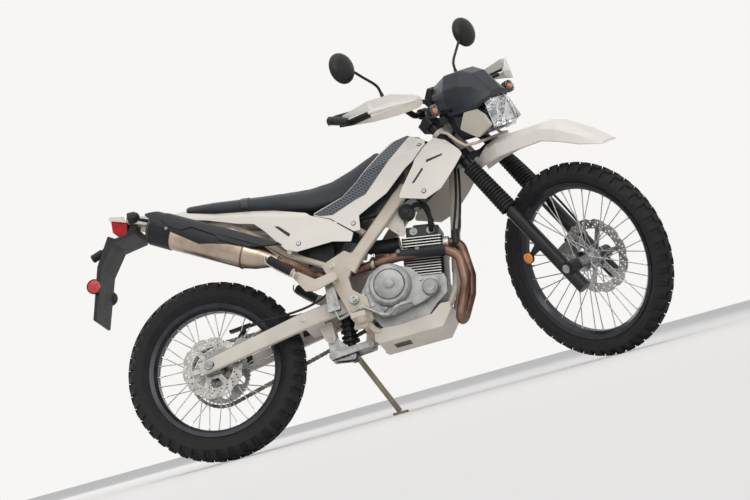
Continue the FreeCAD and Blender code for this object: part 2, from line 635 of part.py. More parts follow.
def make_subframe():
    upper = both(subframe_rail(11.0))
    lower = both(tube([(492, 102, 554), (368, 88, 637), (180, 58, 818)], 11.0, 90))
    cross = [rod(V(300, -66, 792), V(300, 66, 792), 9.0), rod(V(-120, -36, 898), V(-120, 36, 898), 9.0)]
    bosses = both(rod(V(372, 80, 640), V(372, 200, 640), 9.0).common(body_loft(SIDE_ROWS, WALL + RUN)))
    whole = join([upper, lower, cross, bosses])
    rails = both(beam(RAIL_ROWS, 8.0))
    plates = both(plate(PIVOT_PLATE, PLATE_Y - PLATE_THICK / 2 - RUN, PLATE_Y + PLATE_THICK / 2, 8))
    return max(whole.cut(rails + plates).Solids, key=lambda solid: solid.Volume)


CASE = [(632, 283), (741, 275), (780, 282), (826, 326), (872, 356), (880, 404), (872, 440), (752, 452),
        (700, 500), (620, 490), (584, 440), (592, 352)]


def make_crankcase():
    """Engine cases, open on the left for the chain, with the drive sprocket on its shaft."""
    case = plate(CASE, -CASE_HALF, CASE_HALF, 14)
    deck = tilted(Part.makeBox(190, 200, 60, V(BORE_X - 95, -100, DECK_Z)), BORE_X, DECK_Z)
    drive = V(DRIVE_X, 0, DRIVE_Z)
    pocket_low = CHAIN_Y - CHAIN_HALF - 4
    pocket = plate([(540, 320), (DRIVE_X + 30, 344), (DRIVE_X + 56, 380), (DRIVE_X + 56, 424), (DRIVE_X + 30, 460),
                    (540, 470)], pocket_low, CASE_HALF + 1, 10)
    shaft = rod(drive + V(0, pocket_low - 2, 0), drive + V(0, CHAIN_Y + 9, 0), 12.0)
    tip = pitch_radius(DRIVE_TEETH) - ROLLER_RADIUS - 1.0
    teeth = sprocket(drive, CHAIN_Y, DRIVE_TEETH, tip, 11.0)
    return join([case.cut([deck, pocket]), shaft, teeth])


def make_clutch_cover():
    rim_part = plate([(628, 330), (680, 318), (742, 330), (800, 342), (856, 372), (852, 412), (800, 428),
                      (768, 470), (700, 500), (630, 486), (600, 430), (604, 366)], -CASE_HALF - 30, -CASE_HALF, 16)
    face = turned([(0, 0), (0, 76), (20, 74), (26, 66), (26, 56), (22, 52), (22, 0)],
                  V(688, -CASE_HALF - 30, 424), V(0, -1, 0))
    filter_cap = turned([(0, 0), (0, 30), (14, 28), (18, 24), (18, 0)], V(824, -CASE_HALF - 30, 380),
                        V(0, -1, 0))
    return join([rim_part, face, filter_cap])


def make_generator_cover():
    rim_part = plate([(640, 330), (742, 318), (806, 352), (820, 420), (780, 470), (700, 492), (612, 470),
                      (600, 380)], CASE_HALF, CASE_HALF + COVER_RIM, 18)
    face = turned([(0, 0), (0, 70), (22, 66), (30, 54), (30, 0)], V(716, CASE_HALF + COVER_RIM, 408))
    return join([rim_part, face])


def tilted(shape, x, z):
    shape.rotate(V(x, 0, z), V(0, 1, 0), CYLINDER_TILT)
    return shape


BORE_X, DECK_Z = 806.0, 436.0
# The exhaust port, right of the middle so that the pipe passes the down tube
PORT_ROOT, PORT_END = V(868, -42, 550), V(915, -42, 538)
# Middle line of the pipe between the port and the muffler
HEADER_ROWS = [(954, -42, 528), (964, -50, 400), (948, -51, 335), (902, -52, 250), (894, -96, 250), (944, -96, 368),
               (946, -98, 468), (898, -112, 500), (736, -108, 519), (652, -77, 525), (500, -72, 520), (430, -97, 538)]


def finned(core_x, core_y, low, high, fin_x, fin_y, pitch, thick):
    """A cylinder block with cooling fins, upright on the crankcase deck before it is tilted."""
    pieces = [Part.makeBox(2 * core_x, 2 * core_y, high - low, V(BORE_X - core_x, -core_y, DECK_Z + low))]
    level = low + pitch / 2
    while level + thick <= high:
        ring = [V(BORE_X + sx * fin_x, sy * fin_y, DECK_Z + level) for sx, sy in ((-1, -1), (1, -1), (1, 1), (-1, 1))]
        pieces.append(Part.Face(outline(ring, 16.0)).extrude(V(0, 0, thick)))
        level += pitch
    return tilted(join(pieces), BORE_X, DECK_Z)


def make_cylinder():
    return finned(50, 52, 0, 84, 72, 78, 9.5, 3.0)


def make_cylinder_head():
    head = finned(54, 56, 84, 150, 74, 80, 10.0, 3.2)
    cover = Part.makeBox(116, 118, 34, V(BORE_X - 58, -59, DECK_Z + 150))
    cap = Part.makeBox(76, 82, 12, V(BORE_X - 34, -41, DECK_Z + 184))
    port = rod(PORT_ROOT, PORT_END, PORT_RADIUS)
    bore = rod(PORT_END - (PORT_END - PORT_ROOT) * 0.5, PORT_END, PIPE_RADIUS + RUN)
    return join([head, tilted(join([cover, cap]), BORE_X, DECK_Z), port]).cut(bore)


def make_intake():
    """Throttle body with its rubber joint, and the air box behind it."""
    throttle = tube([(742, 0, 592), (700, 0, 596), (650, 0, 606), (600, 0, 640)], 27.0, 60)
    box = plate([(424, 578), (512, 578), (560, 640), (612, 620), (618, 664), (560, 716), (440, 742), (380, 744),
                 (360, 700)], -54, 54, 12)
    shell = plate([(424, 578), (512, 578), (524, 634), (430, 640)], -80, 80, 8)
    run = (SHOCK_TOP - LINK_SHOCK).normalize()
    well = rod(LINK_SHOCK, SHOCK_TOP + run * 60, 36.0)
    return join([throttle, box, shell]).cut(well)


def make_exhaust_header():
    run = (MUFFLER_HIGH - MUFFLER_LOW).normalize()
    meet, before = MUFFLER_LOW - run * RUN, MUFFLER_LOW - run * 60
    rows = [tuple(PORT_END - (PORT_END - PORT_ROOT) * 0.45)] + HEADER_ROWS + [tuple(before), tuple(meet)]
    return tube(rows, PIPE_RADIUS, 46)


MUFFLER_LOW, MUFFLER_HIGH = V(330, -164, 606), V(-46, -164, 832)


def make_muffler():
    run = MUFFLER_HIGH - MUFFLER_LOW
    length = run.Length
    full = MUFFLER_RADIUS
    profile = [(0, 0), (0, 20), (70, full - 12), (120, full - 2), (length, full), (length + 40, full - 2),
               (length + 46, 40), (length + 46, 0)]
    can = turned(profile, MUFFLER_LOW, run)
    mouth = rod(MUFFLER_HIGH + run * 0.03, MUFFLER_HIGH + run * 0.2, 18.0)
    return can.cut(mouth)


def make_header_guard():
    """A curved shield on the outer side of the pipe beside the cylinder."""
    rows = HEADER_ROWS[6:9]
    shell = tube(rows, PIPE_RADIUS + RUN + 4.0, 46).cut(tube(rows, PIPE_RADIUS + RUN, 46))
    side = plate([(705, 536), (725, 551), (824, 540), (899, 514), (908, 498), (898, 473), (749, 512), (720, 520)],
                 -170, -108, 5)
    return shell.common(side)


def make_muffler_guard():
    rows = [(-92, 893), (-20, 903), (99, 858), (211, 799), (267, 777), (299, 742), (367, 648), (267, 661),
            (180, 702), (80, 730), (-45, 830)]
    outer = plate(rows, -252, -170, 6)
    run = MUFFLER_HIGH - MUFFLER_LOW
    wide = Part.makeCylinder(MUFFLER_RADIUS + RUN, run.Length + 300, MUFFLER_LOW - run * 0.3, run)
    rind = Part.makeCylinder(MUFFLER_RADIUS + RUN + 4, run.Length + 300, MUFFLER_LOW - run * 0.3, run)
    return outer.common(rind.cut(wide))


def make_skid_plate():
    """A folded guard under the engine, open at the top, with its front turned up."""
    side = [(872, 292), (872, 318), (840, 320), (802, 292), (684, 284), (622, 290), (594, 284), (588, 252),
            (600, SKID_LOW), (830, SKID_LOW)]
    solid = plate(side, -SKID_HALF, SKID_HALF, 5)
    wall = WALL
    hollow = plate([(560, SKID_LOW + wall), (828, SKID_LOW + wall), (872 - wall, 292), (872 - wall, 340),
                    (560, 340)], wall - SKID_HALF, SKID_HALF - wall, 4)
    window = plate([(640, 200), (700, 200), (700, 300), (640, 300)], -34, 34, 12)
    return solid.cut([hollow, window] + both(cradle_side(13.0)))


# Tank, seat and body panels

# Cross sections of the panels' outer surface: x, z low, z high, half width low, half width high
PANEL_ROWS = [(440, 560, 900, 128, 100), (560, 600, 900, 140, 118), (700, 620, 960, 150, 140),
              (860, 640, 985, 158, 150), (960, 660, 975, 164, 148), (1050, 690, 900, 168, 158)]
TANK_COVER = [(472, 753), (600, 781), (661, 817), (758, 897), (806, 930), (872, 938), (928, 900), (928, 878),
              (872, 828), (842, 811), (756, 742), (642, 694), (636, 640), (611, 644), (539, 717)]
TANK_WING = [(961, 897), (1000, 875), (1042, 817), (1047, 800), (1011, 761), (947, 700), (886, 679), (794, 711),
             (811, 739), (869, 811), (880, 830), (936, 880)]
SIDE_PANEL = [(472, 749), (536, 715), (608, 642), (594, 611), (530, 631), (399, 631), (361, 649), (299, 742),
              (267, 780), (211, 799), (99, 849), (-51, 902), (-120, 924), (32, 915), (271, 842), (456, 767)]


def panel_skin(wall):
    return body_loft(PANEL_ROWS).cut(body_loft(PANEL_ROWS, wall))


def make_tank_covers():
    return group(both(panel_skin(WALL).common(plate(TANK_COVER, -200, -60, 6))))


def make_tank_wings():
    return group(both(panel_skin(WALL).common(plate(TANK_WING, -200, -60, 8))))


# Cross sections of the tank: x, z low, z high, half width low, half width high
TANK_STUDS = [(700, 800), (880, 800)]
TANK_ROWS = [(600, 700, 800, 70, 80), (700, 690, 880, 82, 100), (830, 720, 938, 90, 118), (915, 770, 928, 76, 88),
             (962, 820, 905, 50, 56)]


def make_fuel_tank():
    """Tank over the frame rails, with its filler cap and the studs that carry the wings."""
    hull = body_loft(TANK_ROWS)
    cap = Part.makeCylinder(42, 22, V(862, 0, 932), V(0.08, 0, 1))
    studs = []
    for x, z in TANK_STUDS:
        studs += both(rod(V(x, 60, z), V(x, 200, z), 9.0).common(body_loft(PANEL_ROWS, WALL + RUN)))
    rails = []
    for shape in both(beam([(x, y, z, w + 2 * TUNNEL, h + 2 * TUNNEL) for x, y, z, w, h in RAIL_ROWS], 8.0)):
        rails.append(shape)
    keep = join([hull, cap, studs]).cut(rails + [body_loft(SEAT_ROWS, -RUN), rod(fork(700), fork(1200), 34.0)])
    return max(keep.Solids, key=lambda solid: solid.Volume)


# Seat: x, z under, z crown, half width under, half width over
SEAT_ROWS = [(26, 902, 932, 70, 66), (130, 866, 916, 96, 92), (260, 834, 892, 108, 104), (390, 800, 872, 112, 108),
             (480, 776, 863, 104, 98), (560, 774, 868, 92, 84), (640, 806, 894, 80, 70), (749, 880, 940, 62, 50)]


def make_seat():
    return body_loft(SEAT_ROWS)


SIDE_ROWS = [(-140, 860, 960, 70, 60), (30, 780, 935, 104, 84), (270, 640, 900, 132, 110), (440, 560, 860, 140, 116),
             (620, 560, 850, 146, 118)]


def make_side_panels():
    skin = body_loft(SIDE_ROWS).cut(body_loft(SIDE_ROWS, WALL))
    panel = skin.common(plate(SIDE_PANEL, -200, -60, 6)).cut([make_rear_fender(), body_loft(SEAT_ROWS, -RUN)])
    return group(both(max(panel.Solids, key=lambda solid: solid.Volume)))


# Half width of the tail, and the two ends of its underside
FENDER_HALF = 54.0
TAIL_FRONT, TAIL_END = (-164, 925), (-262, 965)

TAIL_ROWS = [(20, 905), (-164, 953), (-258, 977), TAIL_END, TAIL_FRONT, (-60, 880), (60, 838), (200, 800),
             (200, 812), (60, 850)]

# Two bolt holes in the tail for a luggage rack
RACK_X, RACK_Y, RACK_Z, RACK_HOLE, RACK_DEPTH = -60.0, 38.0, 933.0, 3.3, 22.0


def make_rear_fender():
    shape = plate(TAIL_ROWS, -FENDER_HALF, FENDER_HALF, 5)
    for side in (-1, 1):
        base = V(RACK_X, side * RACK_Y, RACK_Z)
        shape = join([shape, Part.makeCylinder(8.0, 30.0, base - V(0, 0, 30))])
        shape = shape.cut(Part.makeCylinder(RACK_HOLE, RACK_DEPTH, base - V(0, 0, RACK_DEPTH)))
    room = both(subframe_rail(11.0 + RUN)) + both(rod(V(368, 88, 637), V(180, 58, 818), 11.0 + RUN))
    room += [rod(V(-120, -40, 898), V(-120, 40, 898), 9.0 + RUN), body_loft(SEAT_ROWS, -RUN)]
    return max(shape.cut(room).Solids, key=lambda solid: solid.Volume)


def make_plate_carrier():
    """The rear mudguard flap that carries the plate, from under the tail lamp down."""
    outer = [(-180, 912), (-204, 886), (-246, 884), (-270, 900), (-330, 800), (-384, 609), (-372, 606), (-316, 790),
             (-258, 868), (-170, 880), (-164, 912)]
    flap = plate(outer, -80, 80, 4)
    root = plate([(-176, 880), (-204, 880), (-198, under_tail(-198)), (-172, under_tail(-172))], -30, 30, 3)
    lamp = plate([(-198, 700), (-198, 980), (-290, 980), (-290, 892), (-206, 892)], -46, 46)
    return join([flap, root]).cut(lamp.common(plate([(-199.5, 892.5), (-199.5, 990), (-300, 990), (-300, 892.5)], -46, 46)))


def make_tail_lamp():
    return plate([(-200, under_tail(-200)), (-256, under_tail(-256)), (-258, 920), (-236, 893), (-208, 893)],
                 -44, 44, 3)


def signal(x, y, z, root, aim):
    """A round flasher on its stalk."""
    body = turned([(0, 0), (0, 17), (9, SIGNAL_RADIUS), (19, SIGNAL_RADIUS), (26, SIGNAL_RADIUS - 5), (30, 0)],
                  V(x, y, z), aim)
    return join([body, rod(V(*root), V(x, y, z) + aim * 8, 7.0)])


def make_rear_signals():
    shape = signal(-150, -132, 922, (-98, -FENDER_HALF + 2, 912), V(-1, 0, 0))
    shape = shape.cut(plate(TAIL_ROWS, -FENDER_HALF - RUN, FENDER_HALF))
    return group(both(max(shape.Solids, key=lambda solid: solid.Volume)))


# Small fittings

def make_foot_pegs():
    """Rider pegs, a clamped root and a wide tread, and the passenger's, folded back outside the pipe."""
    face = -PLATE_Y - PLATE_THICK / 2 - RUN
    tread = Part.makeBox(52, 92, 18, V(544, -222, 318))
    window = Part.makeBox(34, 70, 30, V(553, -214, 312))
    root = plate([(530, 300), (580, 300), (596, 330), (548, 340)], -134, face, 6)
    rider = join([tread.cut(window), root])
    bracket = plate([(524, 500), (522, 482), (440, 462), (404, 470), (372, 528), (390, 548), (446, 502), (506, 510)],
                    -178, -170, 6)
    stud = rod(V(513, -174, 495), V(513, face, 495), 7.5)
    pivot = rod(V(386, -172, 532), V(386, -222, 532), 7.0)
    rubber = rod(V(382, -212, 536), V(308, -212, 606), 14.0)
    return group([both(rider), both(join([bracket, stud, pivot, rubber]))])


def make_brake_pedal():
    """Pedal, its lever behind the pivot, and the rear master cylinder that it pushes."""
    out = -PLATE_Y - PLATE_THICK / 2 - RUN
    boss = rod(V(577, out, 374), V(577, out - 18, 374), 11.0)
    arm = tube([(577, out - 12, 374), (641, -142, 324), (664, -146, 315), (695, -150, 337), (742, -150, 338)], 6.5, 30)
    pad = Part.makeBox(40, 26, 9, V(712, -163, 334))
    lever = tube([(577, out - 12, 374), (540, out - 12, 362), (490, out - 12, 350)], 5.0, 30)
    push = rod(V(490, out - 12, 350), V(482, out - 12, 390), 4.0)
    master = plate([(459, 383), (505, 383), (497, 487), (470, 487)], out - 22, out, 6)
    return join([boss, arm, pad, lever, push, master])


def make_shift_lever():
    out = CASE_HALF + COVER_RIM + RUN
    shaft = rod(V(664, out, 340), V(664, 132, 340), 8.0)
    arm = tube([(664, 126, 340), (720, 132, 318), (776, 134, 326)], 5.5, 20)
    tip = rod(V(776, 128, 326), V(776, 166, 326), 8.0)
    return join([shaft, arm, tip])


def make_side_stand():
    """Tubular leg with a flat foot, square to its bolt and long enough for the lean."""
    floor = V(STAND_FOOT_X, STAND_FOOT_Y, STAND_FOOT_Y * math.tan(math.radians(LEAN)))
    up = V(0, -SIN_LEAN, COS_LEAN)
    foot_top = floor + up * 9.0
    leg = rod(STAND_PIVOT, foot_top + up * 2.0, 10.0)
    along = V(1, 0, 0)
    across = V(0, COS_LEAN, SIN_LEAN)
    ring = [floor + along * a + across * b for a, b in ((-26, -20), (30, -20), (30, 22), (-26, 22))]
    foot = Part.Face(outline(ring, 12)).extrude(up * 9.0)
    axis = V(STAND_AXIS).normalize()
    fork_end = rod(STAND_PIVOT - axis * 12, STAND_PIVOT + axis * 12, 19.0)
    bore = rod(STAND_PIVOT - axis * 20, STAND_PIVOT + axis * 20, 6.3)
    return join([leg, foot, fork_end]).cut(bore)


# Front end

def make_triple_clamps():
    pieces = []
    for up in (CLAMP_LOW, CLAMP_HIGH):
        ring = [fork(up, a, y) for a, y in ((-24, -22), (-24, 22), (8, LEG_Y + 26), (LEG_OFFSET + 27, LEG_Y + 26),
                                            (LEG_OFFSET + 27, LEG_Y - 27), (22, 42), (22, -42),
                                            (LEG_OFFSET + 27, 27 - LEG_Y), (LEG_OFFSET + 27, -LEG_Y - 26),
                                            (8, -LEG_Y - 26))]
        clamp = Part.Face(outline(ring, 10)).extrude(STEER_AXIS * CLAMP_THICK)
        for side in (-1, 1):
            clamp = clamp.cut(rod(fork(up - 5, LEG_OFFSET, side * LEG_Y),
                                  fork(up + CLAMP_THICK + 5, LEG_OFFSET, side * LEG_Y), STANCHION_RADIUS + RUN))
        pieces.append(clamp)
    stem = rod(fork(CLAMP_LOW + 4), fork(CLAMP_HIGH + CLAMP_THICK + 8), STEM_RADIUS)
    risers = []
    for y in (-RISER_Y, RISER_Y):
        risers.append(rod(fork(CLAMP_HIGH + CLAMP_THICK - 1, BAR_AHEAD, y), fork(BAR_UP, BAR_AHEAD, y), 13.5))
        risers.append(rod(fork(BAR_UP, BAR_AHEAD, y - 15), fork(BAR_UP, BAR_AHEAD, y + 15), 19.0))
    bar = rod(fork(BAR_UP, BAR_AHEAD, -80), fork(BAR_UP, BAR_AHEAD, 80), BAR_RADIUS + RUN)
    return join(pieces + [stem, risers]).cut(bar)


def make_fork_legs():
    legs = []
    for side in (-1, 1):
        y = side * LEG_Y
        tube_part = rod(fork(BOOT_LOW - 40, LEG_OFFSET, y), fork(LEG_TOP + 4, LEG_OFFSET, y), STANCHION_RADIUS)
        slider = rod(fork(LEG_LOW, LEG_OFFSET, y), fork(BOOT_LOW - 10, LEG_OFFSET, y), SLIDER_RADIUS)
        lug = rod(FRONT_AXLE + V(0, y - SLIDER_RADIUS, 0), FRONT_AXLE + V(0, y + SLIDER_RADIUS, 0), 24.0)
        web = beam([(p.x, y, p.z, 30, 38) for p in (fork(FRONT_AXLE_UP, LEG_OFFSET), fork(FRONT_AXLE_UP, AXLE_OFFSET))],
                   4.0)
        legs.append(join([tube_part, slider, lug, web]).cut(
            rod(FRONT_AXLE + V(0, y - 30, 0), FRONT_AXLE + V(0, y + 30, 0), AXLE_RADIUS + RUN)))
    return group(legs)


def make_fork_boots():
    boots = []
    rings = 17
    step = (BOOT_HIGH - BOOT_LOW) / rings
    for side in (-1, 1):
        profile = [(0, SLIDER_RADIUS + RUN)]
        for i in range(rings):
            widest = 32.0 - 4.0 * i / rings
            profile += [(step * i + 1, widest - 5), (step * (i + 0.3), widest), (step * (i + 0.7), widest)]
        profile += [(BOOT_HIGH - BOOT_LOW, 24), (BOOT_HIGH - BOOT_LOW, STANCHION_RADIUS + RUN),
                    (30, STANCHION_RADIUS + RUN), (0, SLIDER_RADIUS + RUN)]
        boots.append(turned(profile[:-1], fork(BOOT_LOW, LEG_OFFSET, side * LEG_Y), STEER_AXIS)
                     .cut(rod(fork(BOOT_LOW - 12, LEG_OFFSET, side * LEG_Y),
                              fork(BOOT_LOW - 9.7, LEG_OFFSET, side * LEG_Y), SLIDER_RADIUS + RUN)))
    return group(boots)


def make_front_axle():
    bar = rod(FRONT_AXLE + V(0, -LEG_Y - 32, 0), FRONT_AXLE + V(0, LEG_Y + 32, 0), AXLE_RADIUS)
    pieces = [bar]
    for side in (-1, 1):
        pieces.append(rod(FRONT_AXLE + V(0, side * (FRONT_HUB_HALF + RUN), 0),
                          FRONT_AXLE + V(0, side * (LEG_Y - SLIDER_RADIUS - RUN), 0), 15.0))
        pieces.append(rod(FRONT_AXLE + V(0, side * (LEG_Y + SLIDER_RADIUS + RUN), 0),
                          FRONT_AXLE + V(0, side * (LEG_Y + 33), 0), 15.0))
    return join(pieces)


def make_front_caliper():
    """Caliper over the front disc, on a bracket that reaches the left fork leg."""
    thick = DISC_THICK + 2 * PAD_GAP
    y = FRONT_DISC_Y - 6.0
    up, ahead = FRONT_AXLE_UP, AXLE_OFFSET
    inner = LEG_Y - SLIDER_RADIUS - RUN
    ring = [fork(up + 52, ahead - 118, y - 14), fork(up + 124, ahead - 96, y - 14),
            fork(up + 118, ahead - 40, y - 14), fork(up + 60, ahead - 70, y - 14)]
    body = Part.Face(outline(ring, 10)).extrude(V(0, inner - y + 14, 0))
    ring = [fork(up + 64, ahead - 90, inner - 7), fork(up + 64, LEG_OFFSET, inner - 7),
            fork(up + 112, LEG_OFFSET, inner - 7), fork(up + 116, ahead - 80, inner - 7)]
    bracket = Part.Face(outline(ring, 8)).extrude(V(0, 7, 0))
    slot = Part.makeCylinder(FRONT_DISC_RADIUS + 4, thick, FRONT_AXLE + V(0, y - thick / 2, 0), V(0, 1, 0))
    return join([body, bracket]).cut(slot)


# Fender: x, z edge, z crown, half width
FENDER_ROWS = [(1085, 770, 806, 46), (1160, 786, 850, 60), (1230, 792, 860, 70), (1320, 790, 852, 76),
               (1440, 785, 845, 76), (1500, 763, 826, 74), (1575, 727, 776, 66), (1652, 700, 708, 46)]


def fender_ring(x, edge, crown, half, inset):
    ring = [V(x, -half + inset, edge), V(x, half - inset, edge), V(x, 0.82 * half - inset, edge + 0.72 * (crown - edge)),
            V(x, 0.3 * half, crown - inset), V(x, -0.3 * half, crown - inset),
            V(x, -0.82 * half + inset, edge + 0.72 * (crown - edge))]
    return outline(ring, 5.0)


def make_front_fender():
    outer = Part.makeLoft([fender_ring(*row, 0.0) for row in FENDER_ROWS], True, True)
    low = []
    for x, edge, crown, half in FENDER_ROWS:
        low.append((x, edge - 30, crown - WALL - 1, half))
    inner = Part.makeLoft([fender_ring(*row, WALL) for row in low], True, True)
    studs = []
    for side in (-1, 1):
        studs.append(rod(fork(CLAMP_LOW - RUN, 26, side * 20), fork(888, 26, side * 20), 9.0))
    return join([outer, studs]).cut(inner)


def make_headlamp_cowl():
    """The peak over the lamp and the housing that the lamp sits in, as one body."""
    return join([visor(), body_loft(HOUSING_ROWS)]).cut(
        [body_loft([LENS_ROWS[0][:1] + LENS_ROWS[0][1:]] + LENS_ROWS[1:], -RUN), dial(4.0)])


def make_headlamp():
    return body_loft(LENS_ROWS)


def make_lamp_cheeks():
    cheek = plate([(1182, 982), (1232, 976), (1258, 948), (1272, 904), (1200, 882), (1138, 933)], -90, -CHEEK_Y, 6)
    return group(both(cheek.cut(visor(-RUN))))


def make_headlamp_stay():
    """Tube bracket from a band on each stanchion, round under the lamp."""
    pieces = []
    for side in (-1, 1):
        band = rod(fork(1040, LEG_OFFSET, side * LEG_Y), fork(1056, LEG_OFFSET, side * LEG_Y), STANCHION_RADIUS + 6)
        pieces.append(band)
        start = fork(1048, LEG_OFFSET + 16, side * (LEG_Y + 12))
        pieces.append(tube([tuple(start), (1095, side * 112, 938), (1121, side * 110, 901), (1146, side * 106, 874),
                            (1186, side * 92, 868), (1190, side * 60, 868), (1190, 0, 868)], 5.5, 16))
    holes = []
    for side in (-1, 1):
        holes.append(rod(fork(1030, LEG_OFFSET, side * LEG_Y), fork(1066, LEG_OFFSET, side * LEG_Y),
                         STANCHION_RADIUS + RUN))
    return join(pieces).cut(holes)


def make_front_signals():
    shape = signal(1153, -216, 1021, (1128, -80, 1006), V(1, 0, 0)).cut(visor(-RUN))
    return group(both(max(shape.Solids, key=lambda solid: solid.Volume)))


BAR_MIDDLE = fork(BAR_UP, BAR_AHEAD)
BAR_ROWS = [(BAR_MIDDLE.x, 0, BAR_MIDDLE.z), (BAR_MIDDLE.x, -92, BAR_MIDDLE.z), (986, -162, 1086),
            (972, -215, 1104), (880, -BAR_HALF, 1121)]
POD_TOP = 1130.0
# Hand guard: distance out, x, z low, z high
GUARD_ROWS = [(408, 905, 1090, 1122), (387, 1046, 1060, 1135), (330, 1110, 1050, 1128), (262, 1150, 1050, 1098),
              (238, 1152, 1060, 1084)]


def make_handlebar():
    rows = [(x, -y, z) for x, y, z in reversed(BAR_ROWS[1:])] + BAR_ROWS[1:]
    return tube(rows, BAR_RADIUS, 60)


def make_grips():
    a, b = V(*BAR_ROWS[4]), V(*BAR_ROWS[3])
    run = (b - a).normalize()
    grip = rod(a + run * 2, a + run * 122, 16.5).cut(rod(a - run * 5, a + run * 130, BAR_RADIUS + RUN))
    return group(both(grip))


def make_hand_guards():
    """Shield on a spine from the bar end, round in front of the hand and back to the bar."""
    wires = []
    path = [V(x, -y, 0) for y, x, low, high in GUARD_ROWS]
    for i, (y, x, low, high) in enumerate(GUARD_ROWS):
        run = (path[min(i + 1, len(path) - 1)] - path[max(i - 1, 0)]).normalize()
        out = V(-run.y, run.x, 0) * 5.0
        base = V(x, -y, 0)
        wires.append(outline([base + V(0, 0, low), base + out + V(0, 0, low), base + out + V(0, 0, high),
                              base + V(0, 0, high)]))
    plastic = Part.makeLoft(wires, True, True)
    end, inward = V(*BAR_ROWS[-1]), V(*BAR_ROWS[-2])
    run = (end - inward).normalize()
    plug = rod(end + run * RUN, end + run * 24, 12.0)
    start = end + run * 18
    spine = tube([tuple(start), (958, -414, 1100), (1046, -388, 1096), (1104, -332, 1088), (1146, -258, 1076),
                  (1070, -190, 1076), (990, -176, 1092)], 6.5, 16)
    clamp = collar(-186, -168, 8.0)
    whole = join([plastic, plug, spine, clamp]).cut(bar_tube(BAR_RADIUS + RUN))
    return group(both(max(whole.Solids, key=lambda solid: solid.Volume)))


def make_mirrors():
    stem = tube([(966, -212, POD_TOP + RUN), (966, -212, 1178), (962, -300, 1256), (962, -318, 1268)], 5.0, 14)
    head = turned([(0, 0), (0, 52), (8, 56), (14, 55), (30, 32), (34, 0)], V(952, -347, 1279), V(1, 0, 0))
    return group(both(join([stem, head])))


def make_controls():
    """Switch pods and their levers on the bars."""
    pod = Part.makeBox(36, 46, POD_TOP - 1084, V(954, -236, 1084))
    lever = tube([(984, -214, 1100), (1010, -232, 1104), (1008, -300, 1110), (954, -376, 1114)], 5.0, 16)
    whole = join([pod, lever, collar(-252, -192, 7.0)]).cut(bar_tube(BAR_RADIUS + RUN))
    return group(both(max(whole.Solids, key=lambda solid: solid.Volume)))


def make_instrument():
    legs = []
    for side in (-1, 1):
        foot, bend = fork(CLAMP_HIGH + CLAMP_THICK + RUN, 8, side * 24), fork(CLAMP_HIGH + CLAMP_THICK + 16, 8, side * 24)
        legs.append(tube([tuple(foot), tuple(bend), (1034, side * 24, 1070)], 5.5, 8))
    return join([dial(), legs])


def make_axle_and_pivot():
    return group([make_rear_axle(), make_pivot_bolt()])


def make_engine_covers():
    return group([make_clutch_cover(), make_generator_cover()])


def make_heat_guards():
    return group([make_header_guard(), make_muffler_guard()])


def make_foot_controls():
    return group([make_brake_pedal(), make_shift_lever()])


def chain_turns_back(mid):
    """Whether the points run round the loop so that the left of each run is inside."""
    area = sum(a.x * b.z - b.x * a.z for a, b in zip(mid, mid[1:] + mid[:1]))
    return area > 0


def cradle_side(radius):
    """One of the two tubes under the engine, from the down tube back to its pivot plate."""
    return tube([(912, 6, 452), (900, 46, 372), (852, 60, 292), (812, 64, 260), (720, 66, 258), (640, 72, 262),
                 (596, 92, 292), (578, PLATE_Y, 324)], radius, 60)


def under_tail(x):
    """Height of the tail's underside at a place along it, less the running gap."""
    return TAIL_FRONT[1] + (TAIL_END[1] - TAIL_FRONT[1]) * (x - TAIL_FRONT[0]) / (TAIL_END[0] - TAIL_FRONT[0]) - 0.5


def make_fork_reflectors():
    """An amber reflector on a tab behind each slider."""
    disc_part = Part.makeCylinder(20.0, 8.0, V(1239, -LEG_Y - 30, 429), V(0, 1, 0))
    tab = plate([(1240, 424), (1290, 440), (1310, 462), (1286, 470), (1240, 438)], -LEG_Y - 24, -LEG_Y - 19)
    slider = rod(fork(LEG_LOW, LEG_OFFSET, -LEG_Y), fork(BOOT_LOW, LEG_OFFSET, -LEG_Y), SLIDER_RADIUS + RUN)
    keep = join([disc_part, tab]).cut(slider)
    return group(both(max(keep.Solids, key=lambda solid: solid.Volume)))


# The lamp's peak, its housing and its lens: x, z low, z high, half width low, half width high
VISOR_ROWS = [(1052, 1020, 1112, 70, 66), (1120, 985, 1131, 96, 84), (1190, 976, 1126, 96, 78),
              (1235, 976, 1100, 92, 66), (1270, 990, 1040, 78, 52), (1283, 1000, 1018, 60, 40)]
CHEEK_Y = 76.0
HOUSING_ROWS = [(1082, 930, 1040, 60, 66), (1120, 892, 1030, CHEEK_Y - RUN, CHEEK_Y - RUN),
                (1195, 884, 1000, CHEEK_Y - RUN, CHEEK_Y - RUN)]
LENS_ROWS = [(1195.3, 884, 1000, 70, 72), (1215, 884, 1000, 70, 72), (1262, 882, 1006, 66, 66),
             (1288, 900, 990, 46, 50)]


def visor(inset=0.0):
    return body_loft(VISOR_ROWS, inset)


def dial(room=0.0):
    """The instrument's case, drawn larger by the room it needs."""
    return plate([(1000 - room, 1072), (1012, 1052 - room), (1050 + room, 1068 - room), (1050 + room, 1106 + room),
                  (1040, 1114 + room)], -60 - room, 60 + room)


def bar_tube(radius):
    """The right half of the bar as a tube of another radius, for what clamps round it."""
    return tube(BAR_ROWS[:1] + BAR_ROWS[1:], radius, 60)


def collar(y_from, y_to, thick):
    """A ring round the right half of the bar between two widths."""
    ring = bar_tube(BAR_RADIUS + thick)
    return ring.common(Part.makeBox(400, abs(y_to - y_from), 400, V(800, min(y_from, y_to), 900)))


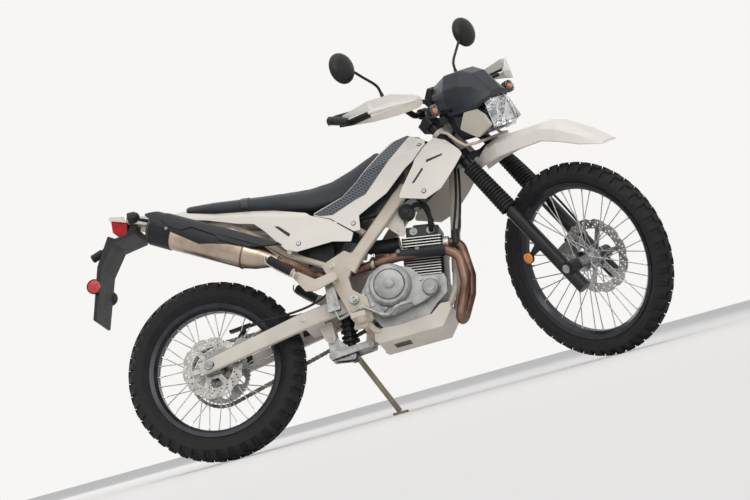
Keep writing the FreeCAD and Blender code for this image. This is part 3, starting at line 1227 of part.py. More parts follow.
def make_rear_reflectors():
    """The two reflectors on the flap."""
    pieces = []
    flap = make_plate_carrier()
    for side in (-1, 1):
        pieces.append(Part.makeCylinder(25, 22, V(-356, side * 84, 732), V(0.94, 0, 0.35)).cut(flap))
    return group([max(piece.Solids, key=lambda solid: solid.Volume) for piece in pieces])


def bare(make, others):
    """A piece less what it would share with its neighbours."""
    return make().cut([other() for other in others])


def subframe_rail(radius):
    """The upper tube of the subframe, one side, running inside the tail."""
    return tube([(640, 84, 640), (560, 76, 726), (300, 66, 792), (-150, 34, 905)], radius, 90)


# Placing

def place(shape, body, origin):
    """Turn a front piece to the lock, lean the machine and bring the origin to its place."""
    moved = shape.copy()
    if body in ("steering", "front_wheel"):
        moved.rotate(STEER_FOOT, STEER_AXIS, -LOCK)
    moved.rotate(V(0, 0, 0), V(1, 0, 0), -LEAN)
    moved.translate(V(0, 0, 0) - origin)
    return moved


# Each sub-part: name, the body that carries it, and what makes it
PIECES = [
    ("rear_tyre", "rear_wheel", make_rear_tyre),
    ("rear_rim", "rear_wheel", make_rear_rim),
    ("rear_hub_spokes", "rear_wheel", make_rear_hub),
    ("rear_disc", "rear_wheel", make_rear_disc),
    ("rear_sprocket", "rear_wheel", make_rear_sprocket),
    ("front_tyre", "front_wheel", make_front_tyre),
    ("front_rim", "front_wheel", make_front_rim),
    ("front_hub_spokes", "front_wheel", make_front_hub),
    ("front_disc", "front_wheel", make_front_disc),
    ("frame", "chassis", make_frame),
    ("subframe", "chassis", make_subframe),
    ("swingarm", "chassis", make_swingarm),
    ("axle_and_pivot", "chassis", make_axle_and_pivot),
    ("linkage", "chassis", make_linkage),
    ("shock", "chassis", make_shock),
    ("chain", "chassis", make_chain),
    ("chain_guard", "chassis", make_chain_guard),
    ("rear_caliper", "chassis", make_rear_brake),
    ("crankcase", "chassis", make_crankcase),
    ("engine_covers", "chassis", make_engine_covers),
    ("cylinder", "chassis", make_cylinder),
    ("cylinder_head", "chassis", make_cylinder_head),
    ("intake", "chassis", make_intake),
    ("exhaust_header", "chassis", make_exhaust_header),
    ("muffler", "chassis", make_muffler),
    ("heat_guards", "chassis", make_heat_guards),
    ("skid_plate", "chassis", make_skid_plate),
    ("fuel_tank", "chassis", make_fuel_tank),
    ("tank_covers", "chassis", make_tank_covers),
    ("tank_wings", "chassis", make_tank_wings),
    ("seat", "chassis", make_seat),
    ("side_panels", "chassis", make_side_panels),
    ("rear_fender", "chassis", make_rear_fender),
    ("plate_carrier", "chassis", make_plate_carrier),
    ("tail_lamp", "chassis", make_tail_lamp),
    ("rear_signals", "chassis", make_rear_signals),
    ("rear_reflectors", "chassis", make_rear_reflectors),
    ("foot_pegs", "chassis", make_foot_pegs),
    ("foot_controls", "chassis", make_foot_controls),
    ("side_stand", "side_stand", make_side_stand),
    ("triple_clamps", "steering", make_triple_clamps),
    ("fork_legs", "steering", make_fork_legs),
    ("fork_boots", "steering", make_fork_boots),
    ("front_axle", "steering", make_front_axle),
    ("front_caliper", "steering", make_front_caliper),
    ("fork_reflectors", "steering", make_fork_reflectors),
    ("front_fender", "steering", make_front_fender),
    ("headlamp_cowl", "steering", make_headlamp_cowl),
    ("lamp_cheeks", "steering", make_lamp_cheeks),
    ("headlamp", "steering", make_headlamp),
    ("headlamp_stay", "steering", make_headlamp_stay),
    ("front_signals", "steering", make_front_signals),
    ("handlebar", "steering", make_handlebar),
    ("grips", "steering", make_grips),
    ("hand_guards", "steering", make_hand_guards),
    ("mirrors", "steering", make_mirrors),
    ("hand_controls", "steering", make_controls),
    ("instrument", "steering", make_instrument),
]


def build():
    """All sub-parts in their places, with the origin on the floor under the middle of the box."""
    standing = [(name, body, place(make(), body, V(0, 0, 0))) for name, body, make in PIECES]
    box = FreeCAD.BoundBox()
    for name, body, shape in standing:
        box.add(shape.optimalBoundingBox(False))
    origin = V(box.Center.x, box.Center.y, 0.0)
    for name, body, shape in standing:
        shape.translate(V(0, 0, 0) - origin)
    return standing, origin


if __name__ == "__main__":
    pieces, origin = build()
    for name, body, shape in pieces:
        shape.exportStep("parts/" + name + ".step")
    print("origin", origin.x, origin.y)
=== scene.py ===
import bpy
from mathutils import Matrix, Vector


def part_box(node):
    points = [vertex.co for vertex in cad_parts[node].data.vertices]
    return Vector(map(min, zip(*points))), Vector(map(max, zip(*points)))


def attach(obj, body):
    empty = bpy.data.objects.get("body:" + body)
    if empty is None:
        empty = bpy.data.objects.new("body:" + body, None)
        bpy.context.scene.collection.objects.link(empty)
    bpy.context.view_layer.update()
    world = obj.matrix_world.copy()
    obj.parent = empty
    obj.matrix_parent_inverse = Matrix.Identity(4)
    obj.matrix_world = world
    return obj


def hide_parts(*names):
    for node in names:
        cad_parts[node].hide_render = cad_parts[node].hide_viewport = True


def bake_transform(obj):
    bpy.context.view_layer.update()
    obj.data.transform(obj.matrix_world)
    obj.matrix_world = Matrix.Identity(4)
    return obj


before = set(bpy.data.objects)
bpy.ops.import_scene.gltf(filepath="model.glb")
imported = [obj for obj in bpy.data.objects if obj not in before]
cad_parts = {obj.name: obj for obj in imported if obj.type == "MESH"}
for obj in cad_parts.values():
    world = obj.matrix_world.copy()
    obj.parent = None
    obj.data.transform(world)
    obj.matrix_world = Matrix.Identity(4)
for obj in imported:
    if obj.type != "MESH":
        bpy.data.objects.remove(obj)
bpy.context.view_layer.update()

import math
import random
import bmesh
import bpy
from mathutils import Matrix, Vector
from mathutils.bvhtree import BVHTree

# The camera stands low on the right of the machine, near the floor, and is rolled so that the
# leaning machine looks as it does in the picture. It is placed from the rear axle.
rear_low, rear_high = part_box("rear_rim")
REAR_AXLE = (Vector(rear_low) + Vector(rear_high)) / 2
CAMERA_FROM_AXLE = Vector((1.6934, -7.9332, -0.2451))
CAMERA_AZIMUTH, CAMERA_RISE, CAMERA_ROLL = (math.radians(a) for a in (7.436, -3.617, -15.476))
SENSOR, LENS = 36.0, 109.68
back = Vector((math.sin(CAMERA_AZIMUTH) * math.cos(CAMERA_RISE),
               -math.cos(CAMERA_AZIMUTH) * math.cos(CAMERA_RISE), math.sin(CAMERA_RISE)))
level = (-back).cross(Vector((0, 0, 1))).normalized()
upright = level.cross(-back)
across = level * math.cos(CAMERA_ROLL) + upright * math.sin(CAMERA_ROLL)
above = -level * math.sin(CAMERA_ROLL) + upright * math.cos(CAMERA_ROLL)
camera = bpy.data.cameras.new("camera")
camera.lens, camera.sensor_width, camera.clip_end = LENS, SENSOR, 100.0
camera_object = bpy.data.objects.new("camera", camera)
bpy.context.collection.objects.link(camera_object)
turn = Matrix((across, above, back)).transposed().to_4x4()
camera_object.matrix_world = Matrix.Translation(REAR_AXLE + CAMERA_FROM_AXLE) @ turn
bpy.context.scene.camera = camera_object
bpy.context.scene.view_settings.view_transform = "Standard"

# A wide pale floor, as in a studio. It keeps the machine's shadow and is no part of it.
FLOOR_HALF = 40.0
FLOOR_COLOUR = (0.76, 0.745, 0.72, 1.0)


def shader(name, colour, roughness=0.5, metallic=0.0):
    """A new material and its main shader node."""
    material = bpy.data.materials.new(name)
    material.use_nodes = True
    surface = material.node_tree.nodes["Principled BSDF"]
    surface.inputs["Base Color"].default_value = colour
    surface.inputs["Roughness"].default_value = roughness
    surface.inputs["Metallic"].default_value = metallic
    return material, surface


def finished(name, build, *materials):
    """Turn a bmesh into an object that sits at the origin."""
    mesh = bpy.data.meshes.new(name)
    build.to_mesh(mesh)
    build.free()
    for material in materials:
        mesh.materials.append(material)
    thing = bpy.data.objects.new(name, mesh)
    bpy.context.collection.objects.link(thing)
    return thing


floor_build = bmesh.new()
bmesh.ops.create_grid(floor_build, x_segments=1, y_segments=1, size=FLOOR_HALF)
floor_paint = shader("floor_paint", FLOOR_COLOUR, 0.9)[0]
finished("floor", floor_build, floor_paint)

# Soft light: a large panel overhead, a long one on the camera side, and one low behind. The world
# is pale, and shows white to the camera and in what is polished.
LAMPS = [("overhead", (0.3, -1.6, 5.4), (7.0, 6.0), 130.0), ("side", (3.4, -9.5, 5.2), (5.0, 4.0), 215.0),
         ("behind", (-3.4, 4.2, 2.6), (3.0, 2.4), 60.0)]
LIT_POINT = Vector((0.0, 0.0, 0.6))
SKY_COLOUR, SKY_STRENGTH, SEEN_COLOUR = (0.94, 0.95, 1.0, 1.0), 0.62, (0.93, 0.92, 0.90, 1.0)
for name, place, (wide, high), power in LAMPS:
    lamp = bpy.data.lights.new(name, "AREA")
    lamp.shape, lamp.size, lamp.size_y, lamp.energy = "RECTANGLE", wide, high, power
    lamp_object = bpy.data.objects.new(name, lamp)
    lamp_object.location = place
    lamp_object.rotation_euler = (LIT_POINT - Vector(place)).to_track_quat("-Z", "Y").to_euler()
    bpy.context.collection.objects.link(lamp_object)


def added(tree, kind, **inputs):
    """A new shader node, with its inputs set to values or joined to what other nodes give."""
    made = tree.nodes.new("ShaderNode" + kind)
    for key, value in inputs.items():
        socket = made.inputs[key.replace("_", " ")]
        if isinstance(value, bpy.types.NodeSocket):
            tree.links.new(value, socket)
        else:
            socket.default_value = value
    return made


def larger(tree, first, second):
    """The larger of the values that two nodes give."""
    most = added(tree, "Math")
    most.operation = "MAXIMUM"
    tree.links.new(first, most.inputs[0])
    tree.links.new(second, most.inputs[1])
    return most.outputs["Value"]


world = bpy.data.worlds.new("pale")
bpy.context.scene.world = world
world.use_nodes = True
sky = world.node_tree
light = sky.nodes["Background"]
light.inputs["Color"].default_value, light.inputs["Strength"].default_value = SKY_COLOUR, SKY_STRENGTH
plain = added(sky, "Background", Color=SEEN_COLOUR, Strength=1.0)
seen = added(sky, "LightPath").outputs
direct = larger(sky, seen["Is Camera Ray"], seen["Is Glossy Ray"])
mixed = added(sky, "MixShader", Fac=larger(sky, direct, seen["Is Transmission Ray"]))
sky.links.new(light.outputs["Background"], mixed.inputs[1])
sky.links.new(plain.outputs["Background"], mixed.inputs[2])
sky.links.new(mixed.outputs["Shader"], sky.nodes["World Output"].inputs["Surface"])

# The main frame, the subframe under the seat and the lamp bracket are welded steel tube and box
# section, painted beige. Dust makes the paint paler in patches.
REAR_AXLE_HEIGHT = 0.3267
LEAN, LOCK, RAKE = math.radians(13.5), math.radians(41.0), math.radians(27.5)
MACHINE = (Matrix.Translation(REAR_AXLE) @ Matrix.Rotation(-LEAN, 4, "X")
           @ Matrix.Translation((0, 0, -REAR_AXLE_HEIGHT)))
STEER_FOOT = Vector((1.496, 0, 0))
STEER_AXIS = Vector((-math.sin(RAKE), 0, math.cos(RAKE)))
STEER_AHEAD = Vector((math.cos(RAKE), 0, math.sin(RAKE)))
FRONT = (MACHINE @ Matrix.Translation(STEER_FOOT) @ Matrix.Rotation(-LOCK, 4, STEER_AXIS)
         @ Matrix.Translation(-STEER_FOOT))
# A home is the place that a piece is built for, with the body it rides on
ON_MACHINE, ON_BARS = (MACHINE, "chassis"), (FRONT, "steering")
FRAME_BEIGE, FRAME_DUST = (0.52, 0.455, 0.365), (0.60, 0.535, 0.445)


def raised(tree, surface, height, strength, distance=0.001):
    """Let a texture's value stand out from a surface."""
    bump = added(tree, "Bump", Strength=strength, Distance=distance, Height=height)
    tree.links.new(bump.outputs["Normal"], surface.inputs["Normal"])


def weathered(name, tones, gloss, scale=9.0, metallic=0.0, grain=0.0, grain_scale=400.0, coat=0.0, glare=0.5):
    """A material that drifts between two tones, with uneven gloss and a fine raised grain."""
    material, surface = shader(name, (*tones[1], 1.0), sum(gloss) / 2, metallic)
    tree = material.node_tree
    place = added(tree, "TexCoord").outputs["Object"]
    drift = added(tree, "TexNoise", Vector=place, Scale=scale, Detail=7.0).outputs["Fac"]
    ramp = added(tree, "ValToRGB", Fac=drift)
    for stop, at, tone in zip(ramp.color_ramp.elements, (0.36, 0.64), tones):
        stop.position, stop.color = at, (*tone, 1.0)
    shine = added(tree, "MapRange", Value=drift, From_Min=0.3, From_Max=0.7, To_Min=gloss[0], To_Max=gloss[1])
    tree.links.new(ramp.outputs["Color"], surface.inputs["Base Color"])
    tree.links.new(shine.outputs["Result"], surface.inputs["Roughness"])
    if grain:
        fine = added(tree, "TexNoise", Vector=place, Scale=grain_scale, Detail=3.0)
        raised(tree, surface, fine.outputs["Fac"], grain)
    surface.inputs["Coat Weight"].default_value = coat
    surface.inputs["Specular IOR Level"].default_value = glare
    return material


def dress(material, *nodes):
    """Give pieces of the construction their finish."""
    for node in nodes:
        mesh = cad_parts[node].data
        mesh.materials.clear()
        mesh.materials.append(material)


frame_paint = weathered("frame_paint", (FRAME_BEIGE, FRAME_DUST), (0.34, 0.52), 14.0, grain=0.15, coat=0.15)
dress(frame_paint, "frame", "subframe", "headlamp_stay")

# The swingarm is a pair of aluminium beams with a cross member, in a lighter sand paint. The guard
# under the engine is folded from plate and painted the same.
SAND, SAND_DUST = (0.58, 0.53, 0.455), (0.66, 0.615, 0.54)
sand_paint = weathered("sand_paint", (SAND, SAND_DUST), (0.32, 0.5), 11.0, grain=0.12, coat=0.15)
dress(sand_paint, "swingarm", "skid_plate")

# The side stand is a steel tube with a welded foot, painted brown.
dress(weathered("stand_paint", ((0.20, 0.16, 0.11), (0.33, 0.28, 0.21)), (0.4, 0.6), 20.0, grain=0.2),
      "side_stand")

# The cases are die cast and painted silver, with a cast skin that is slightly rough. The clutch and
# generator covers are bolted to them with socket screws all round.
CAST_SILVER = ((0.27, 0.27, 0.27), (0.42, 0.42, 0.415))
SCREW_STEEL = ((0.38, 0.37, 0.35), (0.55, 0.54, 0.52))
CLUTCH_FACE, GENERATOR_FACE = -0.114, 0.1005
RIGHT, LEFT = (0, -1, 0), (0, 1, 0)
# Screws round each cover: x, z, all at the height of its rim
CLUTCH_SCREWS = [(0.640, 0.340), (0.690, 0.326), (0.746, 0.338), (0.798, 0.350), (0.842, 0.380),
                 (0.840, 0.406), (0.796, 0.418), (0.610, 0.426), (0.614, 0.374)]
GENERATOR_SCREWS = [(0.648, 0.340), (0.740, 0.328), (0.796, 0.358), (0.808, 0.418), (0.772, 0.462),
                    (0.700, 0.482), (0.622, 0.462), (0.610, 0.384)]


def cap_screw(build, at, axis, radius, height, sides=14):
    """A screw's head, round or with a few sides, with a hollow in its face."""
    at, axis = Vector(at), Vector(axis).normalized()
    turn = axis.to_track_quat("Z", "Y").to_matrix().to_4x4()
    made = bmesh.ops.create_cone(build, cap_ends=True, segments=sides, radius1=radius, radius2=radius * 0.94,
                                 depth=height, matrix=Matrix.Translation(at + axis * height / 2) @ turn)
    faces = {face for vert in made["verts"] for face in vert.link_faces if len(face.verts) == sides}
    top = max(faces, key=lambda face: (face.calc_center_median() - at).dot(axis))
    bmesh.ops.inset_region(build, faces=[top], thickness=radius * 0.42)
    bmesh.ops.inset_region(build, faces=[top], thickness=radius * 0.04, depth=-height * 0.55)


def fit(name, build, home, slot, *materials, smooth=32.0):
    """Put a piece built on the upright machine in its place, to ride on its body."""
    place, body = home
    bmesh.ops.remove_doubles(build, verts=build.verts, dist=0.000002)
    bmesh.ops.recalc_face_normals(build, faces=build.faces)
    bmesh.ops.transform(build, matrix=place, verts=build.verts)
    piece = finished(name, build, *materials)
    if smooth:
        piece.data.shade_smooth()
        piece.data.set_sharp_from_angle(angle=math.radians(smooth))
    if body:
        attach(piece, body)
    return piece


def lathe(build, profile, at, axis, steps):
    """Spin rows of (distance along the axis, radius) round an axis."""
    at, axis = Vector(at), Vector(axis).normalized()
    out = axis.orthogonal().normalized()
    verts = [build.verts.new(at + axis * along + out * radius) for along, radius in profile]
    edges = [build.edges.new(pair) for pair in zip(verts, verts[1:])]
    bmesh.ops.spin(build, geom=verts + edges, cent=at, axis=axis, angle=2 * math.pi, steps=steps,
                   use_merge=True)


def thicken(piece, name, thickness, offset):
    """Give a skin a wall, to one side of it or to both."""
    wall = piece.modifiers.new(name, "SOLIDIFY")
    wall.thickness, wall.offset = thickness, offset


def spun(name, profile, at, axis, steps, home, slot, material):
    """One piece spun round an axis, in its place."""
    build = bmesh.new()
    lathe(build, profile, at, axis, steps)
    return fit(name, build, home, slot, material)


cast_silver = weathered("cast_silver", CAST_SILVER, (0.38, 0.55), 24.0, metallic=0.75, grain=0.35,
                        grain_scale=700.0)
screw_steel = weathered("screw_steel", SCREW_STEEL, (0.25, 0.45), 60.0, metallic=1.0)
dress(cast_silver, "crankcase", "engine_covers")
screws = bmesh.new()
for x, z in CLUTCH_SCREWS:
    cap_screw(screws, (x, CLUTCH_FACE, z), RIGHT, 0.0062, 0.006)
for x, z in GENERATOR_SCREWS:
    cap_screw(screws, (x, GENERATOR_FACE, z), LEFT, 0.0062, 0.006)
fit("cover_screws", screws, ON_MACHINE, "zinc", screw_steel)

# The clutch cover carries a raised ring with a hexagonal nut in its middle. A round cap and a
# hexagonal plug sit on the cover beside it, all in the cover's silver.
# Each: place, sides, rows of (height, radius)
TRIMS = [((0.688, -0.136, 0.424), 40, [(0.0, 0.0), (0.0, 0.050), (0.004, 0.052), (0.0055, 0.049),
                                       (0.0045, 0.020), (0.006, 0.018), (0.006, 0.0)]),
         ((0.688, -0.142, 0.424), 6, [(0.0, 0.0), (0.0, 0.016), (0.004, 0.016), (0.005, 0.013),
                                      (0.005, 0.0)]),
         ((0.824, -0.132, 0.380), 24, [(0.0, 0.0), (0.0, 0.019), (0.004, 0.018), (0.005, 0.0)]),
         ((0.650, -0.114, 0.352), 6, [(0.0, 0.0), (0.0, 0.013), (0.007, 0.013), (0.008, 0.011),
                                      (0.008, 0.0)])]
trims = bmesh.new()
for at, sides, profile in TRIMS:
    lathe(trims, profile, at, RIGHT, sides)
fit("cover_trims", trims, ON_MACHINE, "engine_silver", cast_silver)

# Cylinder and head are cast with cooling fins and painted black. The edges of the fins are left
# bright, as they are machined after the paint.
FIN_MIDDLE, FIN_HALF, FIN_TILT = Vector((0.806, 0.0, 0.436)), (0.0705, 0.0765), math.radians(10.0)
FIN_BLACK, FIN_BRIGHT = (0.02, 0.02, 0.021, 1.0), (0.62, 0.61, 0.58, 1.0)
cylinder_paint, cylinder_surface = shader("cylinder_paint", (0.018, 0.018, 0.019, 1.0), 0.45)
tree = cylinder_paint.node_tree
place = added(tree, "TexCoord").outputs["Object"]
level_block = Matrix.Rotation(-FIN_TILT, 4, "Y") @ Matrix.Translation(-FIN_MIDDLE) @ MACHINE.inverted()
upright_again = added(tree, "Mapping", Vector=place, Rotation=level_block.to_euler(),
                      Location=level_block.to_translation())
outward = added(tree, "VectorMath")
outward.operation = "ABSOLUTE"
tree.links.new(upright_again.outputs["Vector"], outward.inputs[0])
parts = added(tree, "SeparateXYZ", Vector=outward.outputs["Vector"])
past = []
for axis, half in zip("XY", FIN_HALF):
    beyond = added(tree, "Math")
    beyond.operation = "GREATER_THAN"
    beyond.inputs[1].default_value = half
    tree.links.new(parts.outputs[axis], beyond.inputs[0])
    past.append(beyond.outputs["Value"])
bright_edge = larger(tree, *past)
paints = added(tree, "Mix")
paints.data_type = "RGBA"
paints.inputs[6].default_value, paints.inputs[7].default_value = FIN_BLACK, FIN_BRIGHT
tree.links.new(bright_edge, paints.inputs[0])
tree.links.new(paints.outputs[2], cylinder_surface.inputs["Base Color"])
tree.links.new(bright_edge, cylinder_surface.inputs["Metallic"])
raised(tree, cylinder_surface, added(tree, "TexNoise", Vector=place, Scale=600.0).outputs["Fac"], 0.3)
dress(cylinder_paint, "cylinder", "cylinder_head")

# The intake, chain guard, plate carrier, hand controls and instrument are black moulded plastic.
BLACK_MOULDED = ((0.012, 0.012, 0.013), (0.024, 0.024, 0.026))
moulded_black = weathered("moulded_black", BLACK_MOULDED, (0.38, 0.55), 30.0, grain=0.3, grain_scale=900.0,
                          glare=0.3)
dress(moulded_black, "intake", "chain_guard", "plate_carrier", "hand_controls", "instrument")

# Header and silencer are stainless steel. The pipe has turned copper and brown with heat, in
# patches, and the silencer stays brighter.
header_steel = weathered("header_steel", ((0.085, 0.045, 0.032), (0.29, 0.175, 0.125)), (0.34, 0.52), 12.0,
                         metallic=0.85, grain=0.05, grain_scale=300.0)
silencer_steel = weathered("silencer_steel", ((0.30, 0.21, 0.14), (0.60, 0.51, 0.42)), (0.22, 0.38), 8.0,
                           metallic=1.0, grain=0.04, grain_scale=500.0)
dress(header_steel, "exhaust_header")
dress(silencer_steel, "muffler")

# The guards on the pipe and the silencer are black plastic.
guard_black = weathered("guard_black", ((0.008, 0.0085, 0.011), (0.013, 0.015, 0.019)), (0.36, 0.48), 18.0,
                        grain=0.1, grain_scale=1200.0, glare=0.3)
dress(guard_black, "heat_guards")

# The tyres are black rubber with a block tread, and dust makes them paler in patches.
RUBBER, RUBBER_DUST = (0.0095, 0.0098, 0.0108), (0.021, 0.0205, 0.0205)
tyre_rubber = weathered("tyre_rubber", (RUBBER, RUBBER_DUST), (0.62, 0.85), 26.0, grain=0.35,
                        grain_scale=500.0, glare=0.3)
dress(tyre_rubber, "rear_tyre", "front_tyre")

# The rims are rolled aluminium, anodised black. Hubs are cast and polished. The discs and the rear
# sprocket are ground steel.
rim_black = weathered("rim_black", ((0.017, 0.020, 0.026), (0.028, 0.032, 0.040)), (0.22, 0.34), 20.0,
                      metallic=0.4)
hub_alloy = weathered("hub_alloy", ((0.36, 0.36, 0.37), (0.58, 0.58, 0.59)), (0.2, 0.38), 30.0, metallic=1.0)
disc_steel = weathered("disc_steel", ((0.40, 0.39, 0.37), (0.56, 0.55, 0.53)), (0.22, 0.36), 60.0,
                       metallic=1.0, grain=0.05, grain_scale=900.0)
dress(rim_black, "rear_rim", "front_rim")
dress(hub_alloy, "rear_hub_spokes", "front_hub_spokes")
dress(disc_steel, "rear_disc", "front_disc", "rear_sprocket")

# Thirty-six steel spokes a wheel are laced from the hub flanges and held at the rim by brass
# nipples, plated bright. Each stands out of the rim on the line of its spoke.
SPOKES, NIPPLE_RADIUS, NIPPLE_LENGTH = 36, 0.0031, 0.013
FRONT_AXLE = STEER_FOOT + STEER_AXIS * 0.3654 + STEER_AHEAD * 0.0564
# Each wheel: name, axle, bead seat, flange distance, flange radius, lacing angle, home
WHEELS = [("rear", Vector((0, 0, REAR_AXLE_HEIGHT)), 0.2286, 0.028, 0.041, 52.0, (MACHINE, "rear_wheel")),
          ("front", FRONT_AXLE, 0.2667, 0.026, 0.031, 46.0, (FRONT, "front_wheel"))]
plated = weathered("plated", ((0.55, 0.54, 0.51), (0.72, 0.71, 0.69)), (0.16, 0.3), 80.0, metallic=1.0)
for name, axle, seat, flange, flange_radius, crossing, home in WHEELS:
    nipples = bmesh.new()
    for i in range(SPOKES):
        at_rim = 2 * math.pi * i / SPOKES
        side, lead = (1 if i % 2 else -1), (1 if (i // 2) % 2 else -1)
        at_hub = at_rim + lead * math.radians(crossing)
        start = axle + Vector((flange_radius * math.cos(at_hub), side * (flange + lead * 0.003),
                               flange_radius * math.sin(at_hub)))
        end = axle + Vector(((seat - 0.014) * math.cos(at_rim), side * 0.007,
                             (seat - 0.014) * math.sin(at_rim)))
        back_along = (start - end).normalized()
        turned_to = (Matrix.Translation(end + back_along * NIPPLE_LENGTH / 2)
                     @ back_along.to_track_quat("Z", "Y").to_matrix().to_4x4())
        bmesh.ops.create_cone(nipples, cap_ends=True, segments=6, radius1=NIPPLE_RADIUS * 1.25,
                              radius2=NIPPLE_RADIUS * 0.9, depth=NIPPLE_LENGTH, matrix=turned_to)
    fit(name + "_nipples", nipples, home, "hub_alloy", plated)

# Both axles, the swingarm bolt, the linkage and the pedals are zinc plated steel. The foot pegs are
# painted like the frame, and the calipers are cast aluminium.
zinc = weathered("zinc", ((0.30, 0.30, 0.295), (0.43, 0.43, 0.415)), (0.24, 0.42), 60.0, metallic=1.0,
                 grain=0.12, grain_scale=500.0)
dress(zinc, "axle_and_pivot", "linkage", "foot_controls", "front_axle")
dress(frame_paint, "foot_pegs")
caliper_cast = weathered("caliper_cast", ((0.26, 0.26, 0.26), (0.36, 0.36, 0.355)), (0.32, 0.5), 30.0,
                         metallic=0.85, grain=0.3, grain_scale=600.0)
dress(caliper_cast, "rear_caliper", "front_caliper")

# The fork's lower legs, clamps and bars are aluminium in satin black, and the shock is black too.
# Ribbed rubber boots cover the stanchions, and the grips are black rubber.
FORK_TONES = ((0.010, 0.0105, 0.012), (0.019, 0.020, 0.023))
fork_black = weathered("fork_black", FORK_TONES, (0.28, 0.42), 22.0, metallic=0.2, grain=0.08,
                       grain_scale=700.0, glare=0.35)
boot_rubber = weathered("boot_rubber", ((0.009, 0.009, 0.010), (0.02, 0.02, 0.02)), (0.5, 0.7), 40.0,
                        grain=0.2, glare=0.3)
dress(fork_black, "fork_legs", "triple_clamps", "handlebar", "mirrors", "shock")
dress(boot_rubber, "fork_boots", "grips")

# Both fenders, the tank covers, the wings and the side panels are moulded polypropylene in a pale
# sand white, with a soft gloss. The cheeks beside the lamp are cream.
PALE, PALE_SHADE = (0.69, 0.655, 0.585), (0.74, 0.705, 0.635)
pale_plastic = weathered("pale_plastic", (PALE, PALE_SHADE), (0.26, 0.36), 6.0, grain=0.05,
                         grain_scale=1500.0, coat=0.2)
dress(pale_plastic, "front_fender", "tank_wings", "side_panels", "rear_fender", "tank_covers")
dress(weathered("cream", ((0.50, 0.46, 0.38), (0.56, 0.52, 0.44)), (0.3, 0.4), 8.0, grain=0.05),
      "lamp_cheeks")

# The peak over the lamp and its housing are moulded in dark slate. The tail lamp is red, and the
# tank under its covers is black.
slate = weathered("slate", ((0.013, 0.016, 0.022), (0.021, 0.026, 0.034)), (0.28, 0.4), 10.0, grain=0.05,
                  glare=0.4, grain_scale=1500.0)
dress(slate, "headlamp_cowl")
dress(weathered("lamp_red", ((0.42, 0.002, 0.004), (0.56, 0.004, 0.006)), (0.16, 0.24), 60.0, coat=0.3,
                glare=0.2),
      "tail_lamp", "rear_reflectors")
dress(weathered("tank_black", ((0.012, 0.012, 0.014), (0.02, 0.02, 0.022)), (0.2, 0.3), 10.0), "fuel_tank")
dress(weathered("lens_clear", ((0.55, 0.55, 0.56), (0.75, 0.75, 0.76)), (0.08, 0.15), 50.0), "headlamp",
      "front_signals", "rear_signals")

# The seat is one long pad of moulded foam under dark vinyl, which is stretched over it and
# stapled to a black base. A strap crosses it.
# Rows along the seat: x, z under, half width at the shoulder
SEAT_LINE = [(0.026, 0.902, 0.066), (0.130, 0.866, 0.092), (0.260, 0.834, 0.104), (0.390, 0.800, 0.108),
             (0.480, 0.776, 0.098), (0.560, 0.774, 0.084), (0.640, 0.806, 0.070), (0.749, 0.880, 0.050)]
SEAT_VOXEL, SEAT_SWELL, SEAT_EASE = 0.006, 0.004, 12
SKIN_THICK, BASE_HIGH, BASE_MIDDLE = 0.0025, 0.012, 0.03
STRAP_FROM, STRAP_TO, STRAP_PROUD = 0.232, 0.262, 0.0022
VINYL = ((0.007, 0.010, 0.016), (0.013, 0.018, 0.027))


def merged(node, place=None):
    """A copy of a construction piece with its triangles joined, moved out of its place if one is given."""
    build = bmesh.new()
    build.from_mesh(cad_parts[node].data)
    bmesh.ops.remove_doubles(build, verts=build.verts, dist=0.00002)
    if place:
        bmesh.ops.transform(build, matrix=place.inverted(), verts=build.verts)
    return build


def applied(thing):
    """The mesh of an object with its modifiers worked in; the object itself goes."""
    mesh = bpy.data.meshes.new_from_object(thing.evaluated_get(bpy.context.evaluated_depsgraph_get()))
    bpy.data.objects.remove(thing)
    build = bmesh.new()
    build.from_mesh(mesh)
    bpy.data.meshes.remove(mesh)
    return build


def split(build, at, facing, **options):
    """Cut all of a build along a plane."""
    everything = build.verts[:] + build.edges[:] + build.faces[:]
    bmesh.ops.bisect_plane(build, geom=everything, plane_co=at, plane_no=facing, **options)


def at_row(rows, x, column):
    """The value of a column of rows at x, in a straight line between two rows."""
    for before, after in zip(rows, rows[1:]):
        if x <= after[0]:
            share = (x - before[0]) / (after[0] - before[0])
            return before[column] + (after[column] - before[column]) * max(0.0, share)
    return rows[-1][column]


pad = finished("seat_block", merged("seat"))
voxels = pad.modifiers.new("voxels", "REMESH")
voxels.mode, voxels.voxel_size = "VOXEL", SEAT_VOXEL
seat = applied(pad)
for _ in range(SEAT_EASE):
    bmesh.ops.smooth_vert(seat, verts=seat.verts, factor=0.5, use_axis_x=True, use_axis_y=True,
                          use_axis_z=True)
bmesh.ops.transform(seat, matrix=MACHINE.inverted(), verts=seat.verts)
seat.normal_update()
for vert in seat.verts:
    x, y, z = vert.co
    width = at_row(SEAT_LINE, x, 2)
    crown = max(0.0, 1.0 - (y / max(width, 0.03)) ** 2)
    vert.co = vert.co + vert.normal * (SKIN_THICK + (SEAT_SWELL * crown if vert.normal.z > 0.2 else 0.0))
strap = seat.copy()
vinyl = weathered("seat_vinyl", VINYL, (0.36, 0.5), 16.0, grain=0.5, grain_scale=1100.0, glare=0.4)
# This dark material is the seat's black base, and is also laid on the panel and wing slots as painted shade.
base_black_and_slot_shade = weathered("seat_base_and_slot_shade", ((0.008, 0.008, 0.009), (0.014, 0.014, 0.015)), (0.45, 0.6), 30.0,
                       grain=0.2)
for face in seat.faces:
    middle = face.calc_center_median()
    if middle.z < at_row(SEAT_LINE, middle.x, 1) + BASE_HIGH and abs(middle.y) > BASE_MIDDLE:
        face.material_index = 1
seat_cover = fit("seat_cover", seat, ON_MACHINE, "seat_vinyl", vinyl, base_black_and_slot_shade, smooth=70.0)
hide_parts("seat")

